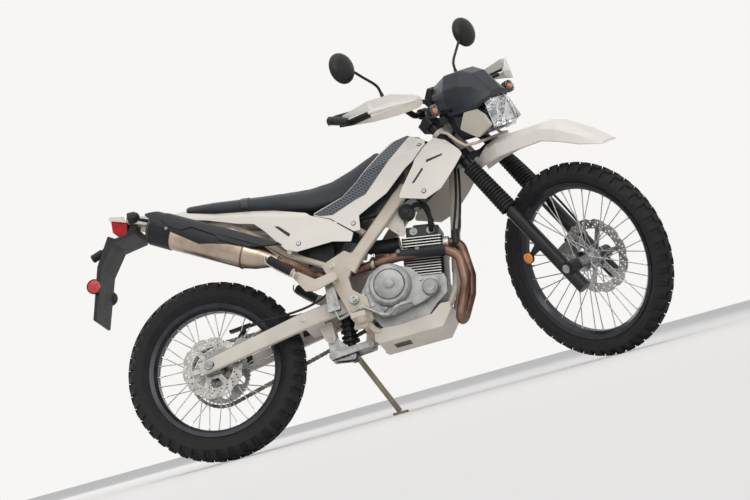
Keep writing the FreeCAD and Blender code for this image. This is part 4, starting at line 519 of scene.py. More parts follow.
# The strap is a flat band of slightly paler vinyl across the seat.
split(strap, (STRAP_FROM, 0, 0), (-1, 0, 0), clear_outer=True)
split(strap, (STRAP_TO, 0, 0), (1, 0, 0), clear_outer=True)
strap.normal_update()
under = [face for face in strap.faces if face.normal.z < -0.4]
bmesh.ops.delete(strap, geom=under, context="FACES")
for vert in strap.verts:
    vert.co = vert.co + vert.normal * STRAP_PROUD * 0.4
strap_band = fit("seat_strap", strap, ON_MACHINE, "seat_vinyl",
                 weathered("strap_vinyl", ((0.012, 0.014, 0.018), (0.02, 0.022, 0.028)), (0.3, 0.42), 40.0,
                           grain=0.4, grain_scale=900.0), smooth=70.0)
thicken(strap_band, "thick", STRAP_PROUD, 1.0)

# The drive chain has pressed steel side plates on pins, with a roller at each, and runs from the
# engine's sprocket to the wheel's. Oil and dust have turned it brown.
CHAIN_PITCH, REAR_TEETH, DRIVE_TEETH = 0.015875, 45, 14
CHAIN_SIDE, ROLLER, PLATE_REACH, PLATE_THICK = 0.066, 0.0051, 0.0066, 0.0016
INNER_PLATE, OUTER_PLATE, PIN_HALF = 0.0036, 0.0056, 0.0078
DRIVE_SHAFT, WHEEL_SHAFT = Vector((0.640, 0.0, 0.402)), Vector((0.0, 0.0, REAR_AXLE_HEIGHT))
big, small = (CHAIN_PITCH / 2 / math.sin(math.pi / teeth) for teeth in (REAR_TEETH, DRIVE_TEETH))
shafts = DRIVE_SHAFT - WHEEL_SHAFT
slope = math.atan2(shafts.z, shafts.x)
spread = math.acos((big - small) / shafts.length)
straight = math.sqrt(shafts.length ** 2 - (big - small) ** 2)
LOOP = [(straight, None, 0.0), (small * 2 * spread, DRIVE_SHAFT, small), (straight, None, 0.0),
        (big * (2 * math.pi - 2 * spread), WHEEL_SHAFT, big)]
loop_length = sum(run for run, centre, radius in LOOP)
links = round(loop_length / CHAIN_PITCH)


def lift(build, face, way):
    """Pull a face out along a way, and give the vertices that moved."""
    grown = bmesh.ops.extrude_face_region(build, geom=[face])["geom"]
    moved = [part for part in grown if isinstance(part, bmesh.types.BMVert)]
    bmesh.ops.translate(build, verts=moved, vec=way)
    return moved


def heading(angle):
    """The direction at an angle from straight ahead, seen from the right side."""
    return Vector((math.cos(angle), 0, math.sin(angle)))


def round_the_loop(way):
    """The point a distance along the chain's loop, from the top of the wheel's sprocket forward."""
    way %= loop_length
    if way < straight:
        return WHEEL_SHAFT + heading(slope + spread) * big + heading(slope + spread - math.pi / 2) * way
    way -= straight
    if way < small * 2 * spread:
        return DRIVE_SHAFT + heading(slope + spread - way / small) * small
    way -= small * 2 * spread
    if way < straight:
        return DRIVE_SHAFT + heading(slope - spread) * small + heading(slope - spread - math.pi / 2) * way
    return WHEEL_SHAFT + heading(slope - spread - (way - straight) / big) * big


chain = bmesh.new()
pins = [round_the_loop(i * loop_length / links) + Vector((0, CHAIN_SIDE, 0)) for i in range(links)]
for i, pin in enumerate(pins):
    ahead_pin = pins[(i + 1) % links]
    run = (ahead_pin - pin).normalized()
    outer = run.cross(Vector((0, 1, 0)))
    turned_to = Matrix((run, outer, Vector((0, 1, 0)))).transposed().to_4x4()
    for side in (-1, 1):
        inside = (INNER_PLATE if i % 2 else OUTER_PLATE) * side - (0.0 if side > 0 else PLATE_THICK)
        plate = bmesh.ops.create_circle(chain, cap_ends=True, segments=16, radius=PLATE_REACH)["verts"]
        for vert in plate:
            if abs(vert.co.x) < 0.0001:
                vert.co.y *= 0.72
            else:
                vert.co.x += math.copysign(CHAIN_PITCH / 2, vert.co.x)
        lifted = lift(chain, plate[0].link_faces[0], (0, 0, PLATE_THICK))
        middle = Matrix.Translation((pin + ahead_pin) / 2 + Vector((0, inside, 0)))
        bmesh.ops.transform(chain, matrix=middle @ turned_to, verts=plate + lifted)
    for radius, half in ((ROLLER, INNER_PLATE), (0.0024, PIN_HALF)):
        bmesh.ops.create_cone(chain, cap_ends=True, segments=10, radius1=radius, radius2=radius,
                              depth=2 * half, matrix=Matrix.Translation(pin) @ turned_to)
chain_steel = weathered("chain_steel", ((0.07, 0.062, 0.05), (0.28, 0.26, 0.22)), (0.28, 0.5), 120.0,
                        metallic=0.9)
chain_loop = fit("chain_loop", chain, ON_MACHINE, "chain_steel", chain_steel)
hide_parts("chain")

# The headlamp has a clear moulded lens in front of a reflector of many small mirrored facets, with
# one bulb in its middle. The reflector is metal on plastic and shut in behind the lens.
BOWL_MOUTH, BOWL_BACK, BOWL_LOW, BOWL_HIGH, BOWL_HALF = 1.262, 1.205, 0.893, 0.994, 0.060
BOWL_CUTS, FACET_STEP = 5, 0.0022
clear, clear_surface = shader("clear_plastic", (0.96, 0.97, 0.98, 1.0), 0.04)
clear_surface.inputs["Transmission Weight"].default_value = 1.0
clear_surface.inputs["IOR"].default_value = 1.45
mirror_metal = weathered("mirrored", ((0.78, 0.79, 0.80), (0.90, 0.90, 0.91)), (0.05, 0.12), 40.0,
                         metallic=1.0)
lens = merged("headlamp", FRONT)
headlamp_lens = fit("headlamp_lens", lens, ON_BARS, "lamp_clear", clear)
thicken(headlamp_lens, "wall", 0.0025, -1.0)
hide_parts("headlamp")
random.seed(11)
bowl = bmesh.new()
bmesh.ops.create_cube(bowl, size=1.0)
for vert in bowl.verts:
    back_end = vert.co.x < 0
    share = 0.55 if back_end else 1.0
    vert.co = Vector((BOWL_BACK if back_end else BOWL_MOUTH, vert.co.y * 2 * BOWL_HALF * share,
                      (BOWL_LOW + BOWL_HIGH) / 2 + vert.co.z * (BOWL_HIGH - BOWL_LOW) * share))
bmesh.ops.delete(bowl, geom=[face for face in bowl.faces if face.normal.x > 0.9 or
                             all(vert.co.x > BOWL_MOUTH - 0.001 for vert in face.verts)],
                 context="FACES_ONLY")
bmesh.ops.subdivide_edges(bowl, edges=bowl.edges[:], cuts=BOWL_CUTS, use_grid_fill=True)
for vert in bowl.verts:
    if vert.co.x < BOWL_MOUTH - 0.002:
        vert.co += Vector((random.uniform(-1, 1), random.uniform(-1, 1), random.uniform(-1, 1))) * FACET_STEP
bowl_piece = fit("lamp_bowl", bowl, ON_BARS, "lamp_clear", mirror_metal, smooth=0.0)
thicken(bowl_piece, "shell", 0.0015, 0.0)
LAMP_BULB = [(0.0, 0.0), (0.0, 0.013), (0.016, 0.013), (0.020, 0.0095), (0.032, 0.009), (0.038, 0.005),
             (0.040, 0.0)]
bulb_glass = weathered("bulb_glass", ((0.50, 0.52, 0.56), (0.72, 0.74, 0.78)), (0.08, 0.16), 60.0, coat=0.6)
spun("lamp_bulb", LAMP_BULB, (BOWL_BACK + 0.002, 0, (BOWL_LOW + BOWL_HIGH) / 2), (1, 0, 0), 20,
     ON_BARS, "lamp_clear", bulb_glass)

# The four signals are black cups on rubber stalks. Each has a clear domed lens over an orange bulb.
CUP = [(0.006, 0.0), (0.006, 0.0135), (0.017, 0.0195), (0.018, 0.022), (0.009, 0.0222), (-0.006, 0.0205),
       (-0.017, 0.014), (-0.022, 0.006), (-0.022, 0.0)]
DOME = [(0.0275, 0.0), (0.0255, 0.0135), (0.0215, 0.0188), (0.0172, 0.0193), (0.0172, 0.0218),
        (0.0225, 0.0207), (0.0270, 0.0150), (0.0295, 0.0)]
ORANGE_BULB = [(0.006, 0.0), (0.006, 0.006), (0.010, 0.0075), (0.015, 0.0115), (0.021, 0.0095), (0.0245, 0.0)]
# Signals: name, lens centre, where the stalk starts, which way it faces, home
SIGNALS = [("front_signal", (1.153, 0.216, 1.021), (1.128, 0.084, 1.006), (1, 0, 0), ON_BARS),
           ("rear_signal", (-0.150, 0.132, 0.922), (-0.098, 0.055, 0.912), (-1, 0, 0), ON_MACHINE)]
stalk_black = weathered("stalk_black", ((0.010, 0.010, 0.011), (0.018, 0.018, 0.019)), (0.34, 0.5), 60.0,
                        grain=0.2, glare=0.3)
bulb_orange = weathered("bulb_orange", ((0.75, 0.20, 0.01), (0.92, 0.33, 0.03)), (0.1, 0.2), 90.0, coat=0.5)
for name, centre, root, facing, home in SIGNALS:
    cups, domes, bulbs = bmesh.new(), bmesh.new(), bmesh.new()
    for side in (-1, 1):
        at = Vector((centre[0], centre[1] * side, centre[2]))
        start = Vector((root[0], root[1] * side, root[2]))
        lathe(cups, CUP, at, facing, 28)
        stalk = at + Vector(facing) * 0.008 - start
        reach = stalk.length - 0.016
        lathe(cups, [(-0.004, 0.0), (-0.004, 0.009), (0.012, 0.0085), (0.018, 0.0065), (reach - 0.004, 0.006),
                     (reach, 0.0075), (reach, 0.0)], start, stalk, 18)
        lathe(domes, DOME, at, facing, 28)
        lathe(bulbs, ORANGE_BULB, at, facing, 16)
    cup_piece = fit(name + "_cups", cups, home, "bar_black", stalk_black)
    fit(name + "_lenses", domes, home, "signal_clear", clear)
    fit(name + "_bulbs", bulbs, home, "signal_clear", bulb_orange)
    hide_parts(name + "s")

# A round amber reflector is pressed into the black tab at the foot of each fork leg.
dress(stalk_black, "fork_reflectors")
ambers = bmesh.new()
for side in (-1, 1):
    lathe(ambers, [(-0.001, 0.0), (-0.001, 0.0185), (0.0015, 0.0185), (0.0032, 0.0165), (0.0038, 0.0)],
          (1.239, side * 0.1252, 0.429), (0, side, 0), 32)
fit("fork_ambers", ambers, ON_BARS, "reflector_amber",
    weathered("amber", ((0.65, 0.17, 0.01), (0.82, 0.27, 0.02)), (0.12, 0.2), 90.0, grain=0.3,
              grain_scale=250.0, coat=0.5))

# On each tank cover lies a dark panel let into the white, with a plain lattice of small raised
# marks. It is a thin skin that follows the cover.
PANEL_EDGE = [(0.483, 0.752), (0.506, 0.738), (0.550, 0.727), (0.644, 0.754), (0.683, 0.761), (0.881, 0.936),
              (0.839, 0.942), (0.764, 0.896), (0.661, 0.815), (0.600, 0.779)]
PANEL_PROUD = 0.0009


def cut_out(node, edge, name, proud=0.0):
    """The part of a construction piece's skin inside an outline seen from the side, set out a little."""
    skin = finished(name + "_skin", merged(node))
    cutter = bmesh.new()
    rim = [cutter.verts.new((x, -0.3, z)) for x, z in edge]
    lift(cutter, cutter.faces.new(rim), (0, 0.6, 0))
    bmesh.ops.triangulate(cutter, faces=[face for face in cutter.faces if len(face.verts) > 4])
    bmesh.ops.recalc_face_normals(cutter, faces=cutter.faces)
    bmesh.ops.transform(cutter, matrix=MACHINE, verts=cutter.verts)
    block = finished(name + "_block", cutter)
    crop = skin.modifiers.new("crop", "BOOLEAN")
    crop.operation, crop.solver, crop.object = "INTERSECT", "EXACT", block
    build = applied(skin)
    bpy.data.objects.remove(block)
    bmesh.ops.transform(build, matrix=MACHINE.inverted(), verts=build.verts)
    bmesh.ops.remove_doubles(build, verts=build.verts, dist=0.00003)
    for vert in build.verts:
        vert.co.y += math.copysign(proud, vert.co.y)
    return build


lattice = cut_out("tank_covers", PANEL_EDGE, "lattice_panel", PANEL_PROUD)
lattice_paint, lattice_surface = shader("lattice_paint", (0.02, 0.024, 0.034, 1.0), 0.34)
tree = lattice_paint.node_tree
turned = added(tree, "Mapping", Vector=added(tree, "TexCoord").outputs["Object"],
               Rotation=(math.radians(-90) + LEAN, 0.0, 0.0))
slant = added(tree, "Mapping", Vector=turned.outputs["Vector"], Rotation=(0.0, 0.0, math.radians(38)))
marks = added(tree, "TexBrick", Vector=slant.outputs["Vector"], Scale=60.0, Brick_Width=0.95, Row_Height=0.55,
              Mortar_Size=0.10, Mortar_Smooth=0.2, Color1=(0.007, 0.009, 0.015, 1.0),
              Color2=(0.012, 0.015, 0.023, 1.0), Mortar=(0.12, 0.135, 0.165, 1.0))
marks.offset, marks.squash = 0.5, 1.0
tree.links.new(marks.outputs["Color"], lattice_surface.inputs["Base Color"])
raised(tree, lattice_surface, marks.outputs["Fac"], 0.25, 0.0006)
fit("lattice_panels", lattice, ON_MACHINE, "white_plastic", lattice_paint)

# Button bolts on dark washers hold the side panels and covers. A slot is moulded in each side panel,
# and two in each wing. Each is drawn as a dark skin set out on the surface: painted shade of the opening.
# Bolts: node they sit on, x, z, head radius
PANEL_BOLTS = [("side_panels", 0.410, 0.660, 0.0075), ("tank_covers", 0.617, 0.672, 0.0075),
               ("tank_wings", 0.886, 0.709, 0.0075), ("tank_covers", 0.908, 0.884, 0.0075)]
# Slots, each a dark skin of painted shade: node, name, edge
SLOT_SHADES = [("side_panels", "panel_slot_shade", [(0.337, 0.748), (0.352, 0.744), (0.388, 0.704), (0.381, 0.694)]),
         ("tank_wings", "wing_slot_shade", [(0.921, 0.818), (0.981, 0.824), (0.978, 0.818), (0.917, 0.808)]),
         ("tank_wings", "wing_gap_shade", [(0.851, 0.748), (0.899, 0.794), (0.902, 0.787), (0.861, 0.748)])]
SLOT_SHADE_PROUD = 0.0007
skins = {}


def on_skin(node, x, z, side):
    """Where a piece of the construction is met from the side, and which way its skin faces."""
    if node not in skins:
        skins[node] = BVHTree.FromBMesh(merged(node, MACHINE))
    at, facing = skins[node].ray_cast(Vector((x, side * 0.6, z)), Vector((0, -side, 0)))[:2]
    return at, (facing if facing.y * side > 0 else -facing)


buttons, washers = bmesh.new(), bmesh.new()
for node, x, z, radius in PANEL_BOLTS:
    for side in (-1, 1):
        at, facing = on_skin(node, x, z, side)
        cap_screw(buttons, at - facing * 0.0004, facing, radius, 0.0032, 18)
        lathe(washers, [(-0.001, 0.0), (-0.001, radius + 0.0016), (0.0005, radius + 0.0016),
                        (0.0009, radius + 0.001), (0.0009, 0.0)], at, facing, 24)
fit("panel_bolts", buttons, ON_MACHINE, "zinc", screw_steel)
fit("panel_washers", washers, ON_MACHINE, "black_plastic", stalk_black)
# Each slot is cut from its panel's skin and set out a little in the dark seat-base material, as painted shade
# of the opening.
for node, name, edge in SLOT_SHADES:
    fit(name + "s", cut_out(node, edge, name, SLOT_SHADE_PROUD), ON_MACHINE, "black_plastic", base_black_and_slot_shade)

# The hand guards are moulded shields on a black spine that runs from the bar's end round the hand.
# The upper shell is white and the lower cream, and the spine shows as a dark inlay in the shell.
BLACK_END, INLAY_END, INLAY_LOW, INLAY_HIGH, CLAMP_SIDE = 0.930, 1.040, 1.079, 1.102, 0.236
guards = merged("hand_guards", FRONT)
for x in (BLACK_END, INLAY_END):
    split(guards, (x, 0, 0), (1, 0, 0))
for z in (INLAY_LOW, INLAY_HIGH):
    split(guards, (0, 0, z), (0, 0, 1))
for y in (CLAMP_SIDE, -CLAMP_SIDE):
    split(guards, (0, y, 0), (0, 1, 0))
for face in guards.faces:
    middle = face.calc_center_median()
    if middle.x < BLACK_END or abs(middle.y) < CLAMP_SIDE:
        face.material_index = 1
    elif middle.x < INLAY_END and INLAY_LOW < middle.z < INLAY_HIGH:
        face.material_index = 1
    else:
        face.material_index = 2 if middle.z < INLAY_LOW else 0
guard_white = weathered("guard_white", ((0.70, 0.67, 0.61), (0.75, 0.72, 0.66)), (0.24, 0.34), 8.0,
                        grain=0.05, coat=0.2)
guard_cream = weathered("guard_cream", ((0.52, 0.48, 0.40), (0.58, 0.54, 0.46)), (0.3, 0.42), 8.0, grain=0.05)
guard_piece = fit("hand_guard_shells", guards, ON_BARS, "guard_white", guard_white, stalk_black, guard_cream)
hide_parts("hand_guards")

# A block of black rubber closes each bar end, and carries the spine's bolt.
ends = bmesh.new()
for side in (-1, 1):
    start, end = Vector((0.868, side * 0.408, 1.128)), Vector((0.962, side * 0.418, 1.096))
    run, length = end - start, (end - start).length
    lathe(ends, [(0.0, 0.0), (0.0, 0.011), (0.004, 0.015), (0.040, 0.0155), (length - 0.004, 0.0125),
                 (length, 0.009), (length, 0.0)], start, run, 20)
    cap_screw(ends, start + run * 0.3 + Vector((0, side * 0.0145, 0)), (0, side, 0), 0.0055, 0.003)
fit("guard_ends", ends, ON_BARS, "bar_black", stalk_black)

# The grips have fine ribs across them and a flange at the inner end. They are pushed on the bar.
BAR_END, BAR_INWARD = Vector((0.880, 0.396, 1.121)), Vector((0.972, 0.215, 1.104))
GRIP_RADIUS, GRIP_FROM, GRIP_TO, RIBS = 0.0168, 0.006, 0.120, 22
# One rib: share of its step, height over the grip
RIB = [(0.0, -0.0004), (0.2, 0.0010), (0.7, 0.0010), (0.9, -0.0004)]
ribs = bmesh.new()
for side in (-1, 1):
    start = Vector((BAR_END.x, BAR_END.y * side, BAR_END.z))
    run = (Vector((BAR_INWARD.x, BAR_INWARD.y * side, BAR_INWARD.z)) - start).normalized()
    step = (GRIP_TO - GRIP_FROM) / RIBS
    profile = [(GRIP_FROM, GRIP_RADIUS - 0.003)]
    for i in range(RIBS):
        at = GRIP_FROM + i * step
        profile += [(at + step * share, GRIP_RADIUS + rise) for share, rise in RIB]
    profile += [(GRIP_TO, GRIP_RADIUS), (GRIP_TO, 0.022), (GRIP_TO + 0.005, 0.022), (GRIP_TO + 0.005, 0.013)]
    lathe(ribs, profile, start, run, 20)
fit("grip_ribs", ribs, ON_BARS, "grip_rubber", boot_rubber)

# Each mirror is a round glass in a domed black shell with a rolled rim, on a bent steel stem that
# is screwed into the lever's clamp.
SHELL = [(0.0010, 0.0495), (-0.0015, 0.0510), (-0.0010, 0.0535), (0.0020, 0.0556), (0.0060, 0.0562),
         (0.0120, 0.0548), (0.0180, 0.0505), (0.0235, 0.0435), (0.0280, 0.0345), (0.0315, 0.0230),
         (0.0335, 0.0110), (0.0340, 0.0)]
STEM = [(0.966, -0.212, 1.131), (0.966, -0.212, 1.168), (0.966, -0.216, 1.186), (0.964, -0.256, 1.217),
        (0.963, -0.286, 1.243), (0.963, -0.302, 1.257), (0.966, -0.330, 1.272)]
HOSE_STEPS, HOSE_ROUND = 6, 3


def hose(name, runs, radius, home, slot, material):
    """Round hoses, cables or wires through points, one for each run."""
    build = bmesh.new()
    for points in runs:
        curve = bpy.data.curves.new(name, "CURVE")
        curve.dimensions, curve.resolution_u = "3D", HOSE_STEPS
        curve.bevel_depth, curve.bevel_resolution, curve.use_fill_caps = radius, HOSE_ROUND, True
        spline = curve.splines.new("NURBS")
        spline.points.add(len(points) - 1)
        for knot, point in zip(spline.points, points):
            knot.co = (*point, 1.0)
        spline.order_u, spline.use_endpoint_u = 4, True
        line = bpy.data.objects.new(name, curve)
        bpy.context.collection.objects.link(line)
        mesh = bpy.data.meshes.new_from_object(line.evaluated_get(bpy.context.evaluated_depsgraph_get()))
        build.from_mesh(mesh)
        bpy.data.objects.remove(line)
        bpy.data.meshes.remove(mesh)
    return fit(name, build, home, slot, material, smooth=50.0)


def mirrored(points):
    """The same run on the other side of the machine."""
    return [(x, -y, z) for x, y, z in points]


glasses, shells = bmesh.new(), bmesh.new()
for side in (-1, 1):
    at = Vector((0.952, side * 0.347, 1.279))
    lathe(glasses, [(0.0016, 0.0), (0.0016, 0.0500), (-0.0004, 0.0496), (-0.0008, 0.0)], at, (1, 0, 0), 48)
    lathe(shells, SHELL, at, (1, 0, 0), 48)
    lathe(shells, [(0.0, 0.0), (0.0, 0.0085), (0.010, 0.0085), (0.012, 0.007), (0.026, 0.0062), (0.026, 0.0)],
          (0.966, side * 0.212, 1.130), (0, 0, 1), 6)
fit("mirror_glasses", glasses, ON_BARS, "mirror_black", mirror_metal)
shell_piece = fit("mirror_shells", shells, ON_BARS, "mirror_black", stalk_black, smooth=50.0)
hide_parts("mirrors")
hose("mirror_stems", [STEM, mirrored(STEM)], 0.005, ON_BARS, "mirror_black", stalk_black)

# The passenger pegs carry ribbed black rubbers, with a bent wire loop beside each.
PEG_OUT, PEG_IN, PEG_RIBS = Vector((0.308, 0.212, 0.606)), Vector((0.382, 0.212, 0.536)), 9
rubbers = bmesh.new()
for side in (-1, 1):
    start, end = (Vector((at.x, at.y * side, at.z)) for at in (PEG_OUT, PEG_IN))
    run, length = (end - start).normalized(), (end - start).length
    profile = [(-0.001, 0.0), (-0.001, 0.013)]
    for i in range(PEG_RIBS):
        at = 0.002 + i * (length - 0.006) / PEG_RIBS
        profile += [(at, 0.0150), (at + 0.004, 0.0165), (at + 0.007, 0.0165), (at + 0.009, 0.0150)]
    profile += [(length - 0.002, 0.013), (length - 0.002, 0.0)]
    lathe(rubbers, profile, start, run, 22)
fit("peg_rubbers", rubbers, ON_MACHINE, "black_plastic", boot_rubber)

WIRE_LOOP = [(0.300, -0.214, 0.622), (0.290, -0.216, 0.606), (0.300, -0.218, 0.588), (0.345, -0.218, 0.546),
             (0.372, -0.214, 0.522), (0.386, -0.206, 0.520)]
bright = weathered("bright_wire", ((0.34, 0.33, 0.30), (0.52, 0.51, 0.48)), (0.22, 0.4), 60.0, metallic=1.0)
hose("peg_loops", [WIRE_LOOP, mirrored(WIRE_LOOP)], 0.0026, ON_MACHINE, "zinc", bright)

# The swingarm's pivot, the frame, the pipe's guard and the swingarm's right beam show hexagonal
# heads on washers, in plated steel.
# Fasteners: node they sit on, side, x, z, head radius
HEADS = [("axle_and_pivot", -1, 0.557, 0.408, 0.0115), ("frame", -1, 0.506, 0.548, 0.0085),
         ("frame", 1, 0.506, 0.548, 0.0085), ("heat_guards", -1, 0.744, 0.533, 0.0062),
         ("heat_guards", -1, 0.812, 0.525, 0.0062), ("swingarm", -1, 0.360, 0.392, 0.006)]
heads = bmesh.new()
for node, side, x, z, radius in HEADS:
    at, facing = on_skin(node, x, z, side)
    lathe(heads, [(-0.001, radius * 0.5), (-0.001, radius * 1.45), (0.0016, radius * 1.4),
                  (0.0018, radius * 0.5)], at, facing, 20)
    cap_screw(heads, at + facing * 0.0012, facing, radius, radius * 0.75, 6)
fit("frame_bolts", heads, ON_MACHINE, "zinc", screw_steel)

# The cylinder head has a round cap over each valve, and a spark plug with a black rubber cap. A
# lead runs from it up under the tank.
VALVE_APART, VALVE_HIGH = 0.030, 0.167
HEAD_TURN = Matrix.Translation(FIN_MIDDLE) @ Matrix.Rotation(FIN_TILT, 4, "Y")
caps = bmesh.new()
for along in (-VALVE_APART, VALVE_APART):
    lathe(caps, [(-0.004, 0.0), (-0.004, 0.0155), (0.004, 0.0155), (0.006, 0.0135), (0.006, 0.0)],
          HEAD_TURN @ Vector((along, -0.059, VALVE_HIGH)), RIGHT, 24)
    cap_screw(caps, HEAD_TURN @ Vector((along, -0.065, VALVE_HIGH)), RIGHT, 0.006, 0.004, 6)
fit("valve_caps", caps, ON_MACHINE, "engine_silver", cast_silver)
PLUG_CAP = [(0.0, 0.0), (0.0, 0.009), (0.014, 0.009), (0.016, 0.011), (0.046, 0.010), (0.050, 0.005),
            (0.050, 0.0)]
PLUG_LEAD = [(0.879, -0.104, 0.620), (0.886, -0.118, 0.634), (0.888, -0.112, 0.668), (0.862, -0.086, 0.694),
             (0.846, -0.070, 0.712)]
spun("plug_cap", PLUG_CAP, (0.868, -0.070, 0.590), (0.25, -0.72, 0.65), 18,
     ON_MACHINE, "black_plastic", boot_rubber)
hose("plug_lead", [PLUG_LEAD], 0.0035, ON_MACHINE, "black_plastic", boot_rubber)

# Under the tank hangs a round black air valve on a pressed bracket, with a rubber hose to the
# head. Three bolts hold the bracket.
AIR_VALVE = [(0.0, 0.0), (0.0, 0.024), (0.006, 0.029), (0.030, 0.029), (0.034, 0.024), (0.036, 0.012),
             (0.040, 0.010), (0.040, 0.0)]
VALVE_HOSE = [(0.826, -0.082, 0.690), (0.846, -0.084, 0.694), (0.866, -0.074, 0.686), (0.872, -0.056, 0.660),
              (0.874, -0.040, 0.630)]
# The bracket's outline and its bolts, each as x, z
BRACKET_EDGE = [(0.712, 0.652), (0.726, 0.664), (0.772, 0.716), (0.784, 0.712), (0.780, 0.608),
                (0.768, 0.594), (0.756, 0.602)]
BRACKET_BOLTS = [(0.757, 0.620), (0.758, 0.692), (0.730, 0.656)]
spun("air_valve", AIR_VALVE, (0.802, -0.066, 0.672), RIGHT, 28,
     ON_MACHINE, "black_plastic", moulded_black)
hose("valve_hose", [VALVE_HOSE], 0.0085, ON_MACHINE, "black_plastic", boot_rubber)
bracket = bmesh.new()
rim = [bracket.verts.new((x, -0.074, z)) for x, z in BRACKET_EDGE]
lift(bracket, bracket.faces.new(rim), (0, -0.004, 0))
for x, z in BRACKET_BOLTS:
    cap_screw(bracket, (x, -0.0775, z), RIGHT, 0.0066, 0.004, 6)
fit("valve_bracket", bracket, ON_MACHINE, "frame_beige", sand_paint)

# A clamp joins the header to the pipe behind it: a bent steel band with its screw.
PIPE_AT, PIPE_RUN = Vector((0.646, -0.079, 0.5245)), Vector((0.91, -0.27, -0.02))
band = bmesh.new()
lathe(band, [(-0.008, 0.0172), (-0.008, 0.0205), (-0.006, 0.0215), (0.006, 0.0215), (0.008, 0.0205),
             (0.008, 0.0172)],
      PIPE_AT, PIPE_RUN, 28)
cap_screw(band, PIPE_AT + Vector((0.004, -0.012, 0.024)), (0.25, -0.95, 0.0), 0.006, 0.016, 6)
fit("pipe_clamp", band, ON_MACHINE, "zinc", bright)

# The silencer ends in a black cap, bolted through its side, and a rolled band joins its cone to its
# can. A raised shell of black plastic is moulded on the upper part of its guard.
CAN_LOW, CAN_HIGH = Vector((0.330, -0.164, 0.606)), Vector((-0.046, -0.164, 0.832))
CAN_RUN, CAN_LENGTH = (CAN_HIGH - CAN_LOW).normalized(), (CAN_HIGH - CAN_LOW).length
SHELL_EDGE = [(-0.016, 0.880), (0.047, 0.871), (0.131, 0.819), (0.236, 0.768), (0.352, 0.660), (0.330, 0.645),
              (0.234, 0.672), (0.152, 0.723), (0.144, 0.743), (0.067, 0.796), (0.031, 0.794), (-0.014, 0.822),
              (-0.034, 0.856)]
SHELL_PROUD = 0.0035
# Rows of (distance past the can's end, radius) and of (distance from its start, radius)
END_CAP = [(-0.046, 0.0583), (-0.046, 0.0606), (0.034, 0.0600), (0.047, 0.051), (0.0485, 0.026),
           (0.0465, 0.0255), (0.0462, 0.040), (0.038, 0.0583), (-0.046, 0.0583)]
CONE_BAND = [(0.117, 0.054), (0.117, 0.0575), (0.1185, 0.0584), (0.122, 0.0584), (0.1235, 0.0575),
             (0.1235, 0.054), (0.117, 0.054)]
spun("silencer_cap", [(CAN_LENGTH + past_end, radius) for past_end, radius in END_CAP], CAN_LOW, CAN_RUN, 48,
     ON_MACHINE, "black_plastic", guard_black)
spun("silencer_bands", CONE_BAND, CAN_LOW, CAN_RUN, 48, ON_MACHINE, "muffler_steel", header_steel)
cap_bolt = bmesh.new()
bolt_at = CAN_LOW + CAN_RUN * (CAN_LENGTH - 0.030) + Vector((0, -0.0602, 0))
cap_screw(cap_bolt, bolt_at, RIGHT, 0.006, 0.004, 6)
fit("silencer_bolt", cap_bolt, ON_MACHINE, "zinc", screw_steel)
raised_shell = cut_out("heat_guards", SHELL_EDGE, "guard_shell")
for vert in raised_shell.verts:
    from_low = vert.co - CAN_LOW
    outward = (from_low - CAN_RUN * from_low.dot(CAN_RUN)).normalized()
    vert.co += outward * SHELL_PROUD
fit("guard_shell", raised_shell, ON_MACHINE, "black_plastic", guard_black)

# A round red reflector in a black cup hangs on each side of the flap, facing sideways.
reflector_red = weathered("reflector_red", ((0.42, 0.003, 0.010), (0.60, 0.010, 0.020)), (0.16, 0.24), 140.0,
                          grain=0.6, grain_scale=420.0, coat=0.6)
cups, faces = bmesh.new(), bmesh.new()
for side in (-1, 1):
    at = Vector((-0.352, side * 0.084, 0.726))
    lathe(cups, [(0.0, 0.0), (0.0, 0.020), (0.004, 0.0265), (0.013, 0.0275), (0.013, 0.0240), (0.010, 0.0238),
                 (0.010, 0.0)],
          at, (0, side, 0), 36)
    lathe(faces, [(0.0102, 0.0), (0.0102, 0.0236), (0.0125, 0.0234), (0.0142, 0.017), (0.0147, 0.0)], at,
          (0, side, 0), 36)
cup_piece = fit("reflector_cups", cups, ON_MACHINE, "black_plastic", stalk_black)
fit("reflector_faces", faces, ON_MACHINE, "lamp_red", reflector_red)
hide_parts("rear_reflectors")

# The plate lamp is a short black tube on an arm from under the tail.
PLATE_LAMP = [(0.0, 0.0), (0.0, 0.010), (0.060, 0.012), (0.064, 0.0155), (0.104, 0.0155), (0.107, 0.012),
              (0.107, 0.0)]
spun("plate_lamp", PLATE_LAMP, (-0.262, 0.0, 0.890), (-0.95, 0.0, -0.30), 20,
     ON_MACHINE, "black_plastic", stalk_black)

# The rear brake hose runs from the master cylinder along the top of the swingarm to the caliper,
# in black rubber.
BRAKE_HOSE = 0.0042
REAR_HOSE = [(0.476, -0.124, 0.462), (0.456, -0.122, 0.446), (0.400, -0.106, 0.434), (0.340, -0.100, 0.430),
             (0.274, -0.096, 0.429), (0.190, -0.092, 0.436), (0.140, -0.086, 0.428), (0.118, -0.080, 0.402)]
hose("rear_brake_hose", [REAR_HOSE], BRAKE_HOSE, ON_MACHINE, "black_plastic", boot_rubber)

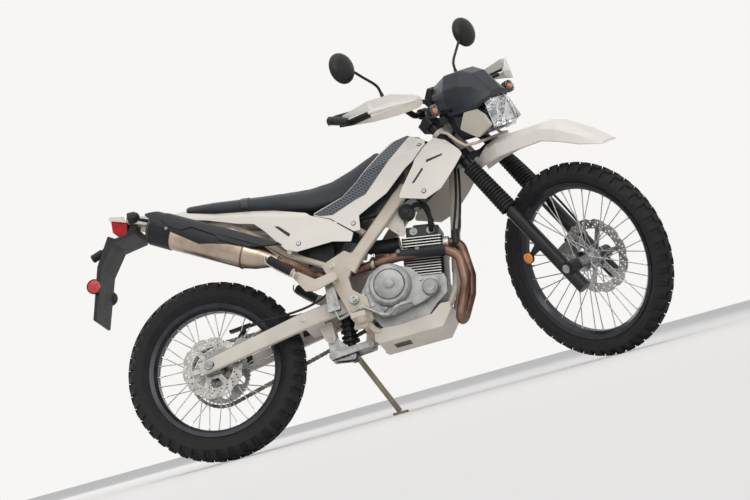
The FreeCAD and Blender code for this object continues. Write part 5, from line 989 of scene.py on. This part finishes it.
# The front brake hose loops forward from the bar, passes the lower clamp and follows the left leg
# to the caliper. It turns with the bars all the way.
FRONT_HOSE = [(0.992, -0.205, 1.104), (1.030, -0.196, 1.118), (1.072, -0.150, 1.090), (1.080, -0.090, 1.020),
              (1.074, -0.030, 0.960), (1.090, 0.050, 0.880), (1.130, 0.118, 0.820), (1.190, 0.128, 0.700),
              (1.290, 0.128, 0.520), (1.330, 0.112, 0.430)]
hose("front_brake_hose", [FRONT_HOSE], BRAKE_HOSE, ON_BARS, "black_plastic", boot_rubber)

# The throttle and clutch cables leave the bar's controls in wide bends, and go back on each side of
# the steering head, under the tank.
# Each cable: the points that turn with the bars, then those on the machine
AT_REST, CABLE_RADIUS = MACHINE.inverted() @ FRONT, 0.0029
THROTTLE = ([(0.984, -0.200, 1.090), (1.020, -0.180, 1.100), (1.052, -0.130, 1.090)],
            [(1.060, -0.060, 1.010), (1.036, -0.044, 0.940), (0.996, -0.046, 0.870), (0.950, -0.048, 0.790),
             (0.880, -0.056, 0.720)])
CLUTCH = ([(0.984, 0.200, 1.090), (1.024, 0.180, 1.098), (1.056, 0.130, 1.080)],
          [(1.066, 0.066, 1.000), (1.040, 0.048, 0.930), (1.000, 0.050, 0.850), (0.974, 0.060, 0.720),
           (0.962, 0.080, 0.600), (0.900, 0.098, 0.520), (0.810, 0.100, 0.490)])
CABLES = [("throttle_cables", THROTTLE, (0.0, 0.009)), ("clutch_cable", CLUTCH, (0.0,))]
for name, (turning, still), beside in CABLES:
    knots = [tuple(AT_REST @ Vector(point)) for point in turning] + still
    runs = [[(x, y + off, z - off) for x, y, z in knots] for off in beside]
    cable = hose(name, runs, CABLE_RADIUS, (MACHINE, None), "black_plastic", boot_rubber)
    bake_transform(cable)

# A loom of wires hangs behind the lamp and beside the down tube, and ends at the coil.
LOOM = [[(1.018, -0.030, 0.880), (1.014, -0.034, 0.800), (0.996, -0.038, 0.700), (0.972, -0.044, 0.600),
         (0.950, -0.046, 0.548)],
        [(1.012, -0.022, 0.880), (1.000, -0.044, 0.790), (0.984, -0.054, 0.690), (0.958, -0.050, 0.620),
         (0.944, -0.048, 0.580)]]
hose("wire_loom", LOOM, 0.0045, ON_MACHINE, "black_plastic", boot_rubber)
COIL = [(0.0, 0.0), (0.0, 0.010), (0.003, 0.0135), (0.052, 0.0135), (0.055, 0.010), (0.055, 0.0)]
spun("ignition_coil", COIL, (0.948, -0.052, 0.575), (-0.16, 0.0, -0.98), 22,
     ON_MACHINE, "black_plastic", moulded_black)
